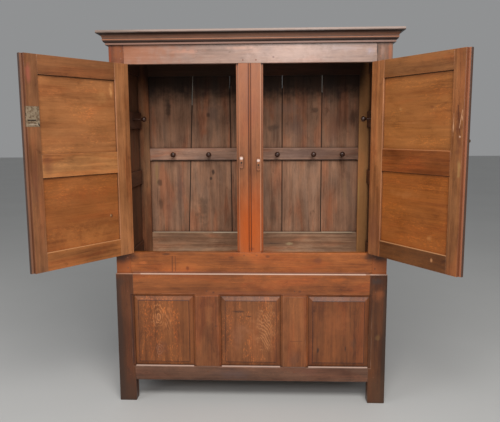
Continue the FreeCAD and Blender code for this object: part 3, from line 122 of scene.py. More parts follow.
class Graph:
    """The node tree of one material"""

    def __init__(self, name):
        self.material = bpy.data.materials.new(name)
        self.material.use_nodes = True
        self.tree = self.material.node_tree
        self.tree.nodes.clear()

    def node(self, kind, **settings):
        made = self.tree.nodes.new(kind)
        for key, value in settings.items():
            setattr(made, key, value)
        return made

    def feed(self, socket, value):
        if isinstance(value, bpy.types.NodeSocket):
            self.tree.links.new(value, socket)
        else:
            socket.default_value = value

    def math(self, operation, first, second=0.0, clamp=False):
        made = self.node("ShaderNodeMath", operation=operation, use_clamp=clamp)
        self.feed(made.inputs[0], first)
        self.feed(made.inputs[1], second)
        return made.outputs[0]

    def vector(self, operation, first, second):
        made = self.node("ShaderNodeVectorMath", operation=operation)
        self.feed(made.inputs[0], first)
        self.feed(made.inputs[1], second)
        return made.outputs["Value" if operation in ("LENGTH", "DOT_PRODUCT") else "Vector"]

    def scaled(self, vector, factor):
        made = self.node("ShaderNodeVectorMath", operation="SCALE")
        self.feed(made.inputs[0], vector)
        self.feed(made.inputs["Scale"], factor)
        return made.outputs["Vector"]

    def noise(self, vector, stretch, detail=3.0, roughness=0.55, distortion=0.0):
        made = self.node("ShaderNodeTexNoise")
        self.feed(made.inputs["Vector"], self.vector("MULTIPLY", vector, stretch))
        made.inputs["Scale"].default_value = 1.0
        made.inputs["Detail"].default_value = detail
        made.inputs["Roughness"].default_value = roughness
        made.inputs["Distortion"].default_value = distortion
        return made.outputs[0]

    def fade(self, value, low, high, start=0.0, end=1.0):
        made = self.node("ShaderNodeMapRange", interpolation_type="SMOOTHSTEP")
        self.feed(made.inputs["Value"], value)
        made.inputs["From Min"].default_value = low
        made.inputs["From Max"].default_value = high
        made.inputs["To Min"].default_value = start
        made.inputs["To Max"].default_value = end
        return made.outputs["Result"]

    def ramp(self, value, stops):
        made = self.node("ShaderNodeValToRGB")
        line = made.color_ramp
        while len(line.elements) < len(stops):
            line.elements.new(0.5)
        for element, (position, colour) in zip(line.elements, stops):
            element.position = position
            element.color = opaque(colour)
        self.feed(made.inputs[0], value)
        return made.outputs["Color"]

    def mix(self, factor, first, second, blend="MIX"):
        made = self.node("ShaderNodeMix", data_type="RGBA", blend_type=blend)
        self.feed(made.inputs[0], factor)
        self.feed(made.inputs[6], opaque(first) if isinstance(first, tuple) else first)
        self.feed(made.inputs[7], opaque(second) if isinstance(second, tuple) else second)
        return made.outputs[2]

    def stained(self, amount, colour, factor):
        """The colour, multiplied by the factor where amount is 1"""
        return self.mix(amount, colour, self.mix(1.0, colour, factor, "MULTIPLY"))

    def hollow(self, distance):
        """1 in the open, less in corners and hollows"""
        made = self.node("ShaderNodeAmbientOcclusion", samples=6)
        made.inputs["Distance"].default_value = distance
        return made.outputs["AO"]

    def attribute(self, name, output="Fac"):
        return self.node("ShaderNodeAttribute", attribute_name=name).outputs[output]

    def place(self, body):
        """The point in the piece's own frame: a door's starts at its hinge, shut"""
        own = self.node("ShaderNodeTexCoord").outputs["Object"]
        if body not in hinges:
            return own
        made = self.node("ShaderNodeMapping", vector_type="POINT")
        turn = turns[body]
        shift = Matrix.Rotation(turn, 3, "Z") @ -Vector((*hinges[body].xy, 0))
        made.inputs["Rotation"].default_value = (0, 0, turn)
        made.inputs["Location"].default_value = shift
        self.feed(made.inputs["Vector"], own)
        return made.outputs["Vector"]

    def spot(self, place, centre, size, soft=0.5, rough=0.25, grain=30.0):
        """1 inside an uneven ellipsoid about centre, falling to 0 at its edge"""
        away = self.vector("DIVIDE", self.vector("SUBTRACT", place, centre), size)
        reach = self.vector("LENGTH", away, (0, 0, 0))
        uneven = self.noise(place, (grain, grain, grain), 3.0)
        wobble = self.math("MULTIPLY", self.math("SUBTRACT", uneven, 0.5), rough * 4)
        return self.fade(self.math("ADD", reach, wobble), 1.0, 1.0 - soft)

    def stroke(self, place, start, end, width, face=None):
        """1 along a line between two points (x, z), falling to 0 a width away

        The line lies on the face at a depth, or goes right through the piece.
        """
        run = Vector((end[0] - start[0], 0, end[1] - start[1]))
        own = self.vector("SUBTRACT", place, (start[0], face or 0, start[1]))
        own = self.vector("MULTIPLY", own, (1, 0 if face is None else 1, 1))
        share = self.vector("DOT_PRODUCT", own, run / run.length_squared)
        nearest = self.scaled(run, self.math("ADD", share, 0.0, clamp=True))
        away = self.vector("LENGTH", self.vector("SUBTRACT", own, nearest), (0, 0, 0))
        return self.fade(away, width, width * 0.3)

    def rings(self, place, centre, stretch, spacing):
        """Wavering rings about centre, drawn out by stretch"""
        away = self.vector("DIVIDE", self.vector("SUBTRACT", place, centre), stretch)
        reach = self.vector("LENGTH", away, (0, 0, 0))
        uneven = self.math("MULTIPLY", self.noise(place, (45, 45, 16), 3.0), spacing * 3)
        turn = self.math("MULTIPLY", self.math("ADD", reach, uneven), 2 * math.pi / spacing)
        return self.fade(self.math("SINE", turn), 0.1, 0.9)

    def outline(self, place, centre, half, width):
        """1 on the rim of a rectangle that looks along Y, falling to 0 a width away"""
        parts = self.node("ShaderNodeSeparateXYZ")
        self.feed(parts.inputs[0], self.vector("SUBTRACT", place, centre))
        sides = []
        for socket, reach in ((0, half[0]), (2, half[1])):
            away = self.math("ABSOLUTE", parts.outputs[socket])
            sides.append(self.math("SUBTRACT", away, reach))
        rim = self.math("ABSOLUTE", self.math("MAXIMUM", *sides))
        return self.fade(rim, width, width * 0.3)

    def surface(self, colour, roughness, height=None, depth=0.001, **fixed):
        shader = self.node("ShaderNodeBsdfPrincipled")
        self.feed(shader.inputs["Base Color"], colour)
        self.feed(shader.inputs["Roughness"], roughness)
        for socket, value in fixed.items():
            shader.inputs[socket.replace("_", " ")].default_value = value
        if height is not None:
            bump = self.node("ShaderNodeBump")
            bump.inputs["Strength"].default_value = 1.0
            bump.inputs["Distance"].default_value = depth
            self.feed(bump.inputs["Height"], height)
            self.feed(shader.inputs["Normal"], bump.outputs["Normal"])
        out = self.node("ShaderNodeOutputMaterial")
        self.feed(out.inputs["Surface"], shader.outputs[0])
        return self.material


# How each kind of oak is finished
STYLE_TERMS = ("contrast", "drift", "flecks", "pores", "rough", "coat", "wear", "dirt_and_shade", "depth")
STYLE_VALUES = {
    "waxed": (1.4, 0.55, 0.2, 0.4, 0.42, 0.15, 0.6, 0.7, 0.0006),
    "frieze": (1.3, 0.4, 0.1, 0.2, 0.36, 0.25, 0.5, 0.5, 0.0004),
    "panel": (0.9, 0.35, 0.35, 0.25, 0.42, 0.1, 0.5, 0.15, 0.0005),
    "flecked": (1.25, 0.4, 0.9, 0.35, 0.42, 0.12, 0.5, 0.85, 0.0006),
    "dry": (1.45, 1.0, 0.1, 0.4, 0.75, 0.0, 0.5, 0.8, 0.0009),
    "polished": (0.5, 0.3, 0.0, 0.2, 0.3, 0.3, 0.6, 0.6, 0.0003),
}
STYLES = {style: dict(zip(STYLE_TERMS, values)) for style, values in STYLE_VALUES.items()}
# Dark, middle and light of the figure, as factors of a piece's tint
TONES = ((0.0, (0.50, 0.44, 0.40)), (0.5, (0.94, 0.93, 0.92)), (1.0, (1.0, 1.0, 1.0)))
COAT_ROUGHNESS = 0.34
SPECULAR = 0.35
# Oaks without marks, which pieces share
made_oaks = {}


def painted(g, place, colour, marks):
    """The colour with stains, rubs, painted highlights, painted sheen and painted shade laid over it"""
    for shape, paint, strength in marks:
        here = g.math("MULTIPLY", shape(g, place), strength)
        colour = g.mix(here, colour, srgb(*paint))
    return colour


def oak(body, grain, style, marks=()):
    """Old oak: tint and seed come from the mesh, the figure runs along grain"""
    key = (body if body in hinges else "case", grain, style)
    if not marks and key in made_oaks:
        return made_oaks[key]
    look = STYLES[style]
    g = Graph("_".join(("oak", *key)))
    place = g.place(body)
    parts = g.node("ShaderNodeSeparateXYZ")
    g.feed(parts.inputs[0], place)
    order = {"x": (0, 1, 2), "y": (1, 0, 2), "z": (2, 0, 1)}[grain]
    joined = g.node("ShaderNodeCombineXYZ")
    for socket, index in enumerate(order):
        g.feed(joined.inputs[socket], parts.outputs[index])
    seed = g.attribute("seed")
    along = g.vector("ADD", joined.outputs[0], g.scaled((7.3, 3.1, 5.7), seed))
    broad = g.noise(along, (1.1, 10, 10), 3.0, 0.5, 0.6)
    rings = g.noise(along, (2.2, 60, 60), 5.0, 0.62, 0.4)
    fibre = g.noise(along, (14, 400, 400), 3.0, 0.6)
    patch = g.noise(along, (4.5, 8, 8), 5.0, 0.62, 0.4)
    # one tone from the four layers, stretched about its middle
    tone = g.math("MULTIPLY", broad, 0.28)
    for layer, share in ((rings, 0.26), (fibre, 0.16), (patch, 0.30)):
        made = g.node("ShaderNodeMath", operation="MULTIPLY_ADD")
        g.feed(made.inputs[0], layer)
        made.inputs[1].default_value = share
        g.feed(made.inputs[2], tone)
        tone = made.outputs[0]
    reach = 0.17 / look["contrast"]
    tone = g.fade(tone, 0.5 - reach, 0.5 + reach)
    factor = g.ramp(tone, TONES)
    lift = g.fade(tone, 0.5, 1.0, 1.0, 1.3)
    colour = g.scaled(g.mix(1.0, g.attribute("tint", "Color"), factor, "MULTIPLY"), lift)
    # patches that run redder or greyer, and small dark stains
    warmth = g.noise(along, (2.6, 13, 13), 3.0, 0.55, 0.5)
    redder = g.fade(warmth, 0.5, 0.66, 0.0, look["drift"])
    colour = g.stained(redder, colour, (1.16, 0.92, 0.80))
    greyer = g.fade(warmth, 0.5, 0.34, 0.0, look["drift"])
    colour = g.stained(greyer, colour, (0.86, 0.93, 1.0))
    cloud = g.noise(along, (9, 22, 22), 5.0, 0.7, 0.6)
    stain = g.fade(cloud, 0.58, 0.72, 0.0, 0.45 * look["contrast"])
    colour = g.stained(stain, colour, (0.5, 0.42, 0.38))
    # pores, then the pale flecks that lie across the grain
    pores = g.fade(g.noise(along, (38, 900, 900), 2.0, 0.5), 0.56, 0.70, 0.0, look["pores"])
    colour = g.stained(pores, colour, (0.45, 0.36, 0.3))
    if look["flecks"]:
        ray = g.noise(along, (60, 190, 190), 2.0, 0.5, 1.0)
        bed = g.fade(g.noise(along, (3.5, 12, 12), 2.0), 0.46, 0.6)
        flecks = g.math("MULTIPLY", g.fade(ray, 0.55, 0.63, 0.0, look["flecks"]), bed)
        colour = g.stained(flecks, colour, (2.1, 1.85, 1.5))
    # rubbed arrises; dirt and painted shade in the corners, from the occlusion
    edge = g.attribute("edge")
    rub = g.fade(g.noise(place, (26, 26, 26), 4.0, 0.65), 0.38, 0.62)
    wear = g.math("MULTIPLY", g.math("MULTIPLY", edge, rub), look["wear"])
    rubbed = g.mix(1.0, colour, (1.9, 1.9, 1.9), "MULTIPLY")
    colour = g.mix(wear, colour, g.mix(0.25, rubbed, (0.5, 0.4, 0.32)))
    dirt_and_shade = g.fade(g.hollow(0.03), 0.92, 0.4, 0.0, look["dirt_and_shade"])
    colour = g.stained(dirt_and_shade, colour, (0.2, 0.15, 0.12))
    colour = painted(g, place, colour, marks)
    roughness = g.fade(patch, 0.3, 0.7, look["rough"] - 0.06, look["rough"] + 0.1)
    height = g.math("ADD", g.math("MULTIPLY", rings, 0.5), g.math("MULTIPLY", fibre, 0.3))
    height = g.math("ADD", height, g.math("MULTIPLY", pores, -0.5))
    height = g.math("ADD", height, g.math("MULTIPLY", patch, 2.2))
    made = g.surface(
        colour,
        roughness,
        height,
        look["depth"],
        Coat_Weight=look["coat"],
        Coat_Roughness=COAT_ROUGHNESS,
        Specular_IOR_Level=SPECULAR,
    )
    if not marks:
        made_oaks[key] = made
    return made


def iron(name, shade, rust, roughness, metallic, body="case", marks=()):
    """Old metal: clouds of rust or tarnish over a shade, bright arrises, dirt and painted shade in the hollows"""
    g = Graph(name)
    place = g.place(body)
    cloud = g.noise(place, (60, 60, 60), 5.0, 0.65, 0.4)
    pits = g.noise(place, (420, 420, 420), 3.0)
    colour = g.mix(g.fade(cloud, 0.42, 0.62), srgb(*shade), srgb(*rust))
    edge = g.attribute("edge")
    bright = srgb(*(min(255, value * 1.5) for value in shade))
    colour = g.mix(g.math("MULTIPLY", edge, 0.6), colour, bright)
    # dirt and painted shade in the hollows, from the occlusion
    dirt_and_shade = g.fade(g.hollow(0.008), 0.85, 0.3, 0.0, 0.8)
    colour = g.mix(dirt_and_shade, colour, (0.006, 0.005, 0.004))
    colour = painted(g, place, colour, marks)
    rough = g.fade(cloud, 0.35, 0.65, roughness, roughness + 0.25)
    height = g.math("ADD", g.math("MULTIPLY", cloud, 0.7), g.math("MULTIPLY", pits, 0.3))
    return g.surface(colour, rough, height, 0.0004, Metallic=metallic)


def islands(mesh):
    """The separate solids of a mesh, as lists of its vertices"""
    left, found = set(mesh.verts), []
    for start in mesh.verts:
        if start not in left:
            continue
        left.remove(start)
        group, wave = {start}, [start]
        while wave:
            for link in wave.pop().link_edges:
                other = link.verts[0] if link.verts[1] in group else link.verts[1]
                if other in left:
                    left.remove(other)
                    group.add(other)
                    wave.append(other)
        found.append([v for v in mesh.verts if v in group])
    return found


def merge_flats(mesh):
    """Merge the triangles of each flat face into one face, unless the face has a hole"""
    left, regions = set(mesh.faces), []
    for start in mesh.faces:
        if start not in left:
            continue
        left.remove(start)
        region, wave = {start}, [start]
        while wave:
            for e in wave.pop().edges:
                if len(e.link_faces) == 2 and e.calc_face_angle(0) < FLAT_ANGLE:
                    for f in e.link_faces:
                        if f in left:
                            left.remove(f)
                            region.add(f)
                            wave.append(f)
        regions.append(region)
    inner = set()
    for region in regions:
        edges = {e for f in region for e in f.edges}
        inside = {e for e in edges if all(f in region for f in e.link_faces)}
        rim = {}
        for e in edges - inside:
            for v in e.verts:
                rim.setdefault(v, []).append(e)
        start = next(iter(rim))
        seen, wave = {start}, [start]
        while wave:
            for e in rim[wave.pop()]:
                for v in e.verts:
                    if v not in seen:
                        seen.add(v)
                        wave.append(v)
        if len(seen) == len(rim) and all(len(around) == 2 for around in rim.values()):
            inner |= inside
    bmesh.ops.dissolve_edges(mesh, edges=[e for e in mesh.edges if e in inner], use_verts=False)
    straight = []
    for v in mesh.verts:
        if len(v.link_edges) == 2:
            first, second = (e.other_vert(v).co - v.co for e in v.link_edges)
            if first.angle(second, 0) > STRAIGHT_ANGLE:
                straight.append(v)
    bmesh.ops.dissolve_verts(mesh, verts=straight)


def welded(node):
    """The node's own mesh with the points that its faces share joined"""
    mesh = bmesh.new()
    mesh.from_mesh(frame["nodes"][node].data)
    bmesh.ops.remove_doubles(mesh, verts=mesh.verts, dist=WELD)
    return mesh


def worn_copy(node, tint, width):
    """The node's own shape with its arrises rounded to a width

    The tint is a colour, or a rule that gives one from a solid's centre.
    """
    mesh = welded(node)
    merge_flats(mesh)
    seed = mesh.verts.layers.float.new("seed")
    paint = mesh.verts.layers.float_color.new("tint")
    edge = mesh.verts.layers.float.new("edge")
    curved = mesh.faces.layers.int.new("curved")
    chance = random.Random(node)
    for group in islands(mesh):
        centre = sum((v.co for v in group), Vector()) / len(group)
        own, shade = chance.random() * 10, chance.uniform(0.93, 1.07)
        colour = tint(centre) if callable(tint) else tint
        for v in group:
            v[seed] = own
            v[paint] = (*(c * shade for c in colour), 1.0)
    # facets of a turned or moulded surface are narrow and meet at a small angle
    for f in mesh.faces:
        f[curved] = int(f.calc_area() < FACET_WIDTH * max(e.calc_length() for e in f.edges))
    # arrises long enough, between faces wide enough, to take the rounding
    sharp = []
    for e in mesh.edges:
        if len(e.link_faces) == 2 and e.calc_length() > 4 * width:
            if e.calc_face_angle_signed(0) > ARRIS_ANGLE:
                if min(f.calc_area() for f in e.link_faces) > 20 * width * width:
                    sharp.append(e)
    if sharp and width:
        rounded = bmesh.ops.bevel(
            mesh,
            geom=sharp,
            offset=width,
            offset_type="OFFSET",
            segments=2,
            profile=0.5,
            affect="EDGES",
            clamp_overlap=False,
        )
        new = set(rounded["faces"])
        for f in new:
            f[curved] = 2
        for v in {v for f in new for v in f.verts}:
            if all(f in new for f in v.link_faces):
                v[edge] = 1.0
    for f in mesh.faces:
        f.smooth = True
    for e in mesh.edges:
        kinds = {f[curved] for f in e.link_faces}
        e.smooth = len(kinds) == 1 and 0 not in kinds and e.calc_face_angle(0) < SMOOTH_ANGLE
    many_sided = [f for f in mesh.faces if len(f.verts) > 4]
    bmesh.ops.triangulate(mesh, faces=many_sided, ngon_method="EAR_CLIP")
    made = as_object(node + "_worn", mesh)
    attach(made, body_of[node])
    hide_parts(node)
    return made


def door_panel(high, low):
    """A door's upper and lower panel"""
    return lambda centre: srgb(*(high if centre.z > 1.3 else low))


def door_rails(top, middle, bottom):
    """A door's three rails"""
    return lambda centre: srgb(*(top if centre.z > 1.6 else middle if centre.z > 1.1 else bottom))


def pin_tint(centre):
    """A pin is a little darker than the wood that it's driven into"""
    if centre.z > 1.7:
        return srgb(128, 82, 60)
    if centre.z > 0.709:
        return srgb(128, 74, 44)
    return srgb(104, 62, 40)


# Each piece of wood: its colour or a rule for it, its grain, its finish and its rounding
WOODS = {
    "front_post_left": ((94, 45, 22), "z", "waxed", 0.0016),
    "front_post_right": ((109, 75, 52), "z", "waxed", 0.0016),
    # The frieze's pale pinkish tint is partly painted sheen
    "frieze_rail": ((154, 123, 108), "x", "frieze", 0.0012),
    "waist_rail": ((143, 79, 34), "x", "waxed", 0.0016),
    "centre_muntin": ((137, 81, 44), "z", "waxed", 0.001),
    "rear_post_left": ((147, 102, 69), "z", "dry", 0.001),
    "rear_post_right": ((170, 121, 76), "z", "dry", 0.001),
    "side_rails_left": ((104, 68, 46), "y", "dry", 0.001),
    "side_rails_right": ((104, 68, 46), "y", "dry", 0.001),
    "side_panels_left": ((110, 74, 50), "z", "dry", 0.001),
    "side_panels_right": ((110, 74, 50), "z", "dry", 0.001),
    "back_bottom_rail": ((177, 135, 105), "x", "dry", 0.001),
    "peg_rail": ((159, 122, 102), "x", "dry", 0.001),
    "back_top_rail": ((70, 46, 32), "x", "dry", 0.001),
    "back_boards": ((151, 111, 86), "z", "dry", 0.0008),
    "roof_boards": ((96, 72, 56), "x", "dry", 0.001),
    "cornice_front": ((93, 67, 53), "x", "waxed", 0.0008),
    "cornice_left": ((120, 80, 60), "y", "waxed", 0.0008),
    "cornice_right": ((120, 80, 60), "y", "waxed", 0.0008),
    "base_panel_left": ((124, 71, 34), "z", "flecked", 0.0008),
    "base_panel_centre": ((130, 77, 41), "z", "flecked", 0.0008),
    "base_panel_right": ((116, 65, 31), "z", "waxed", 0.0008),
    "base_muntins": ((129, 75, 39), "z", "waxed", 0.0012),
    "base_top_rail": ((139, 77, 35), "x", "waxed", 0.002),
    "base_bottom_rail": ((98, 66, 49), "x", "waxed", 0.002),
    "base_side_panel_left": ((120, 74, 48), "z", "waxed", 0.0008),
    "base_side_panel_right": ((120, 74, 48), "z", "waxed", 0.0008),
    "base_side_rails_left": ((118, 72, 46), "y", "waxed", 0.0015),
    "base_side_rails_right": ((118, 72, 46), "y", "waxed", 0.0015),
    "base_leg_front_left": ((84, 45, 20), "z", "waxed", 0.002),
    "base_leg_front_right": ((91, 50, 21), "z", "waxed", 0.002),
    "base_leg_rear_left": ((96, 62, 42), "z", "waxed", 0.002),
    "base_leg_rear_right": ((96, 62, 42), "z", "waxed", 0.002),
    "base_back_rails": ((112, 82, 58), "x", "dry", 0.001),
    "base_back_boards": ((116, 86, 62), "z", "dry", 0.001),
    "base_floor_boards": ((116, 88, 64), "y", "dry", 0.001),
    "base_floor_cleats": ((110, 82, 58), "x", "dry", 0.001),
    "left_door_panels": (door_panel((158, 102, 59), (143, 84, 40)), "x", "panel", 0.0006),
    "left_door_rails": (
        door_rails((130, 82, 47), (158, 106, 62), (153, 94, 48)), "x", "waxed", 0.001,
    ),
    "left_door_hinge_stile": ((156, 102, 62), "z", "waxed", 0.0012),
    "left_door_meeting_stile": ((132, 85, 52), "z", "waxed", 0.0005),
    "right_door_panels": (door_panel((156, 97, 48), (148, 84, 33)), "x", "panel", 0.0006),
    "right_door_rails": (
        door_rails((131, 82, 43), (125, 67, 26), (99, 58, 26)), "x", "waxed", 0.001,
    ),
    "right_door_hinge_stile": ((151, 96, 56), "z", "waxed", 0.0012),
    "right_door_meeting_stile": ((137, 87, 49), "z", "waxed", 0.0012),
    "oak_pins": (pin_tint, "y", "waxed", 0.0003),
    "coat_pegs": ((66, 40, 29), "y", "polished", 0.0003),
    "turn_button_left": ((150, 96, 62), "z", "polished", 0.001),
    "turn_button_right": ((150, 96, 62), "z", "polished", 0.001),
}


# Where the marked faces lie, front to back
FRONT, BASE, BOARDS, RAILS, INNER = -0.034, -0.047, 0.516, 0.502, 0.0325


def blot(centre, size, paint, strength, soft=0.7, rough=0.25):
    """An uneven ellipsoid of paint"""
    return (lambda g, place: g.spot(place, centre, size, soft, rough)), paint, strength


def flat_mark(x, y, z, wide, high, paint, strength, soft=0.7, rough=0.25):
    """A mark on a face that looks along Y"""
    return blot((x, y, z), (wide, 0.022, high), paint, strength, soft, rough)


def board_mark(x, z, wide, high, paint, strength, soft=0.7, rough=0.25):
    """A mark on the inner face of the back boards, not on the outer one"""
    return blot((x, BOARDS, z), (wide, 0.011, high), paint, strength, soft, rough)


def band(z, high, paint, strength, soft=0.6, rough=0.05):
    """A level band round a piece"""
    return blot((0.0, 0.0, z), (3.0, 3.0, high), paint, strength, soft, rough)


def line(start, end, width, paint, strength, face=None):
    """A straight line from one point (x, z) to another"""
    return (lambda g, place: g.stroke(place, start, end, width, face)), paint, strength


def figure(x, z, wide, high, spacing, paint, strength, eye=None):
    """The pale figure of quarter-sawn oak on a base panel, in rings about an eye (x, z)"""
    middle = (eye[0], BASE, eye[1]) if eye else (x, BASE, z)

    def shape(g, place):
        inside = g.spot(place, (x, BASE, z), (wide, 0.022, high), 0.8, 0.4)
        return g.math("MULTIPLY", inside, g.rings(place, middle, (1.0, 1.0, high / wide), spacing))

    return shape, paint, strength


def field_line(node, width, paint, strength):
    """A thin line round the raised field of a base panel, its foremost face"""
    points = [v.co for v in frame["nodes"][node].data.vertices]
    foremost = min(p.y for p in points) + 0.0003
    xs, zs = ([p[i] for p in points if p.y < foremost] for i in (0, 2))
    centre = ((min(xs) + max(xs)) / 2, BASE, (min(zs) + max(zs)) / 2)
    half = ((max(xs) - min(xs)) / 2, (max(zs) - min(zs)) / 2)
    return (lambda g, place: g.outline(place, centre, half, width)), paint, strength


def in_own(body, point):
    """A point in the frame that a piece's marks are placed in"""
    if body not in hinges:
        return point
    return Matrix.Rotation(turns[body], 3, "Z") @ (point - Vector((*hinges[body].xy, 0)))


def solids(node):
    """The points of each solid of a node in its body's own frame, from the lowest solid up"""
    mesh = welded(node)
    found = [[in_own(body_of[node], v.co) for v in group] for group in islands(mesh)]
    mesh.free()
    return sorted(found, key=lambda points: min(p.z for p in points))


def extent(points, axis):
    """The least and the greatest of the points along an axis"""
    values = [p[axis] for p in points]
    return min(values), max(values)
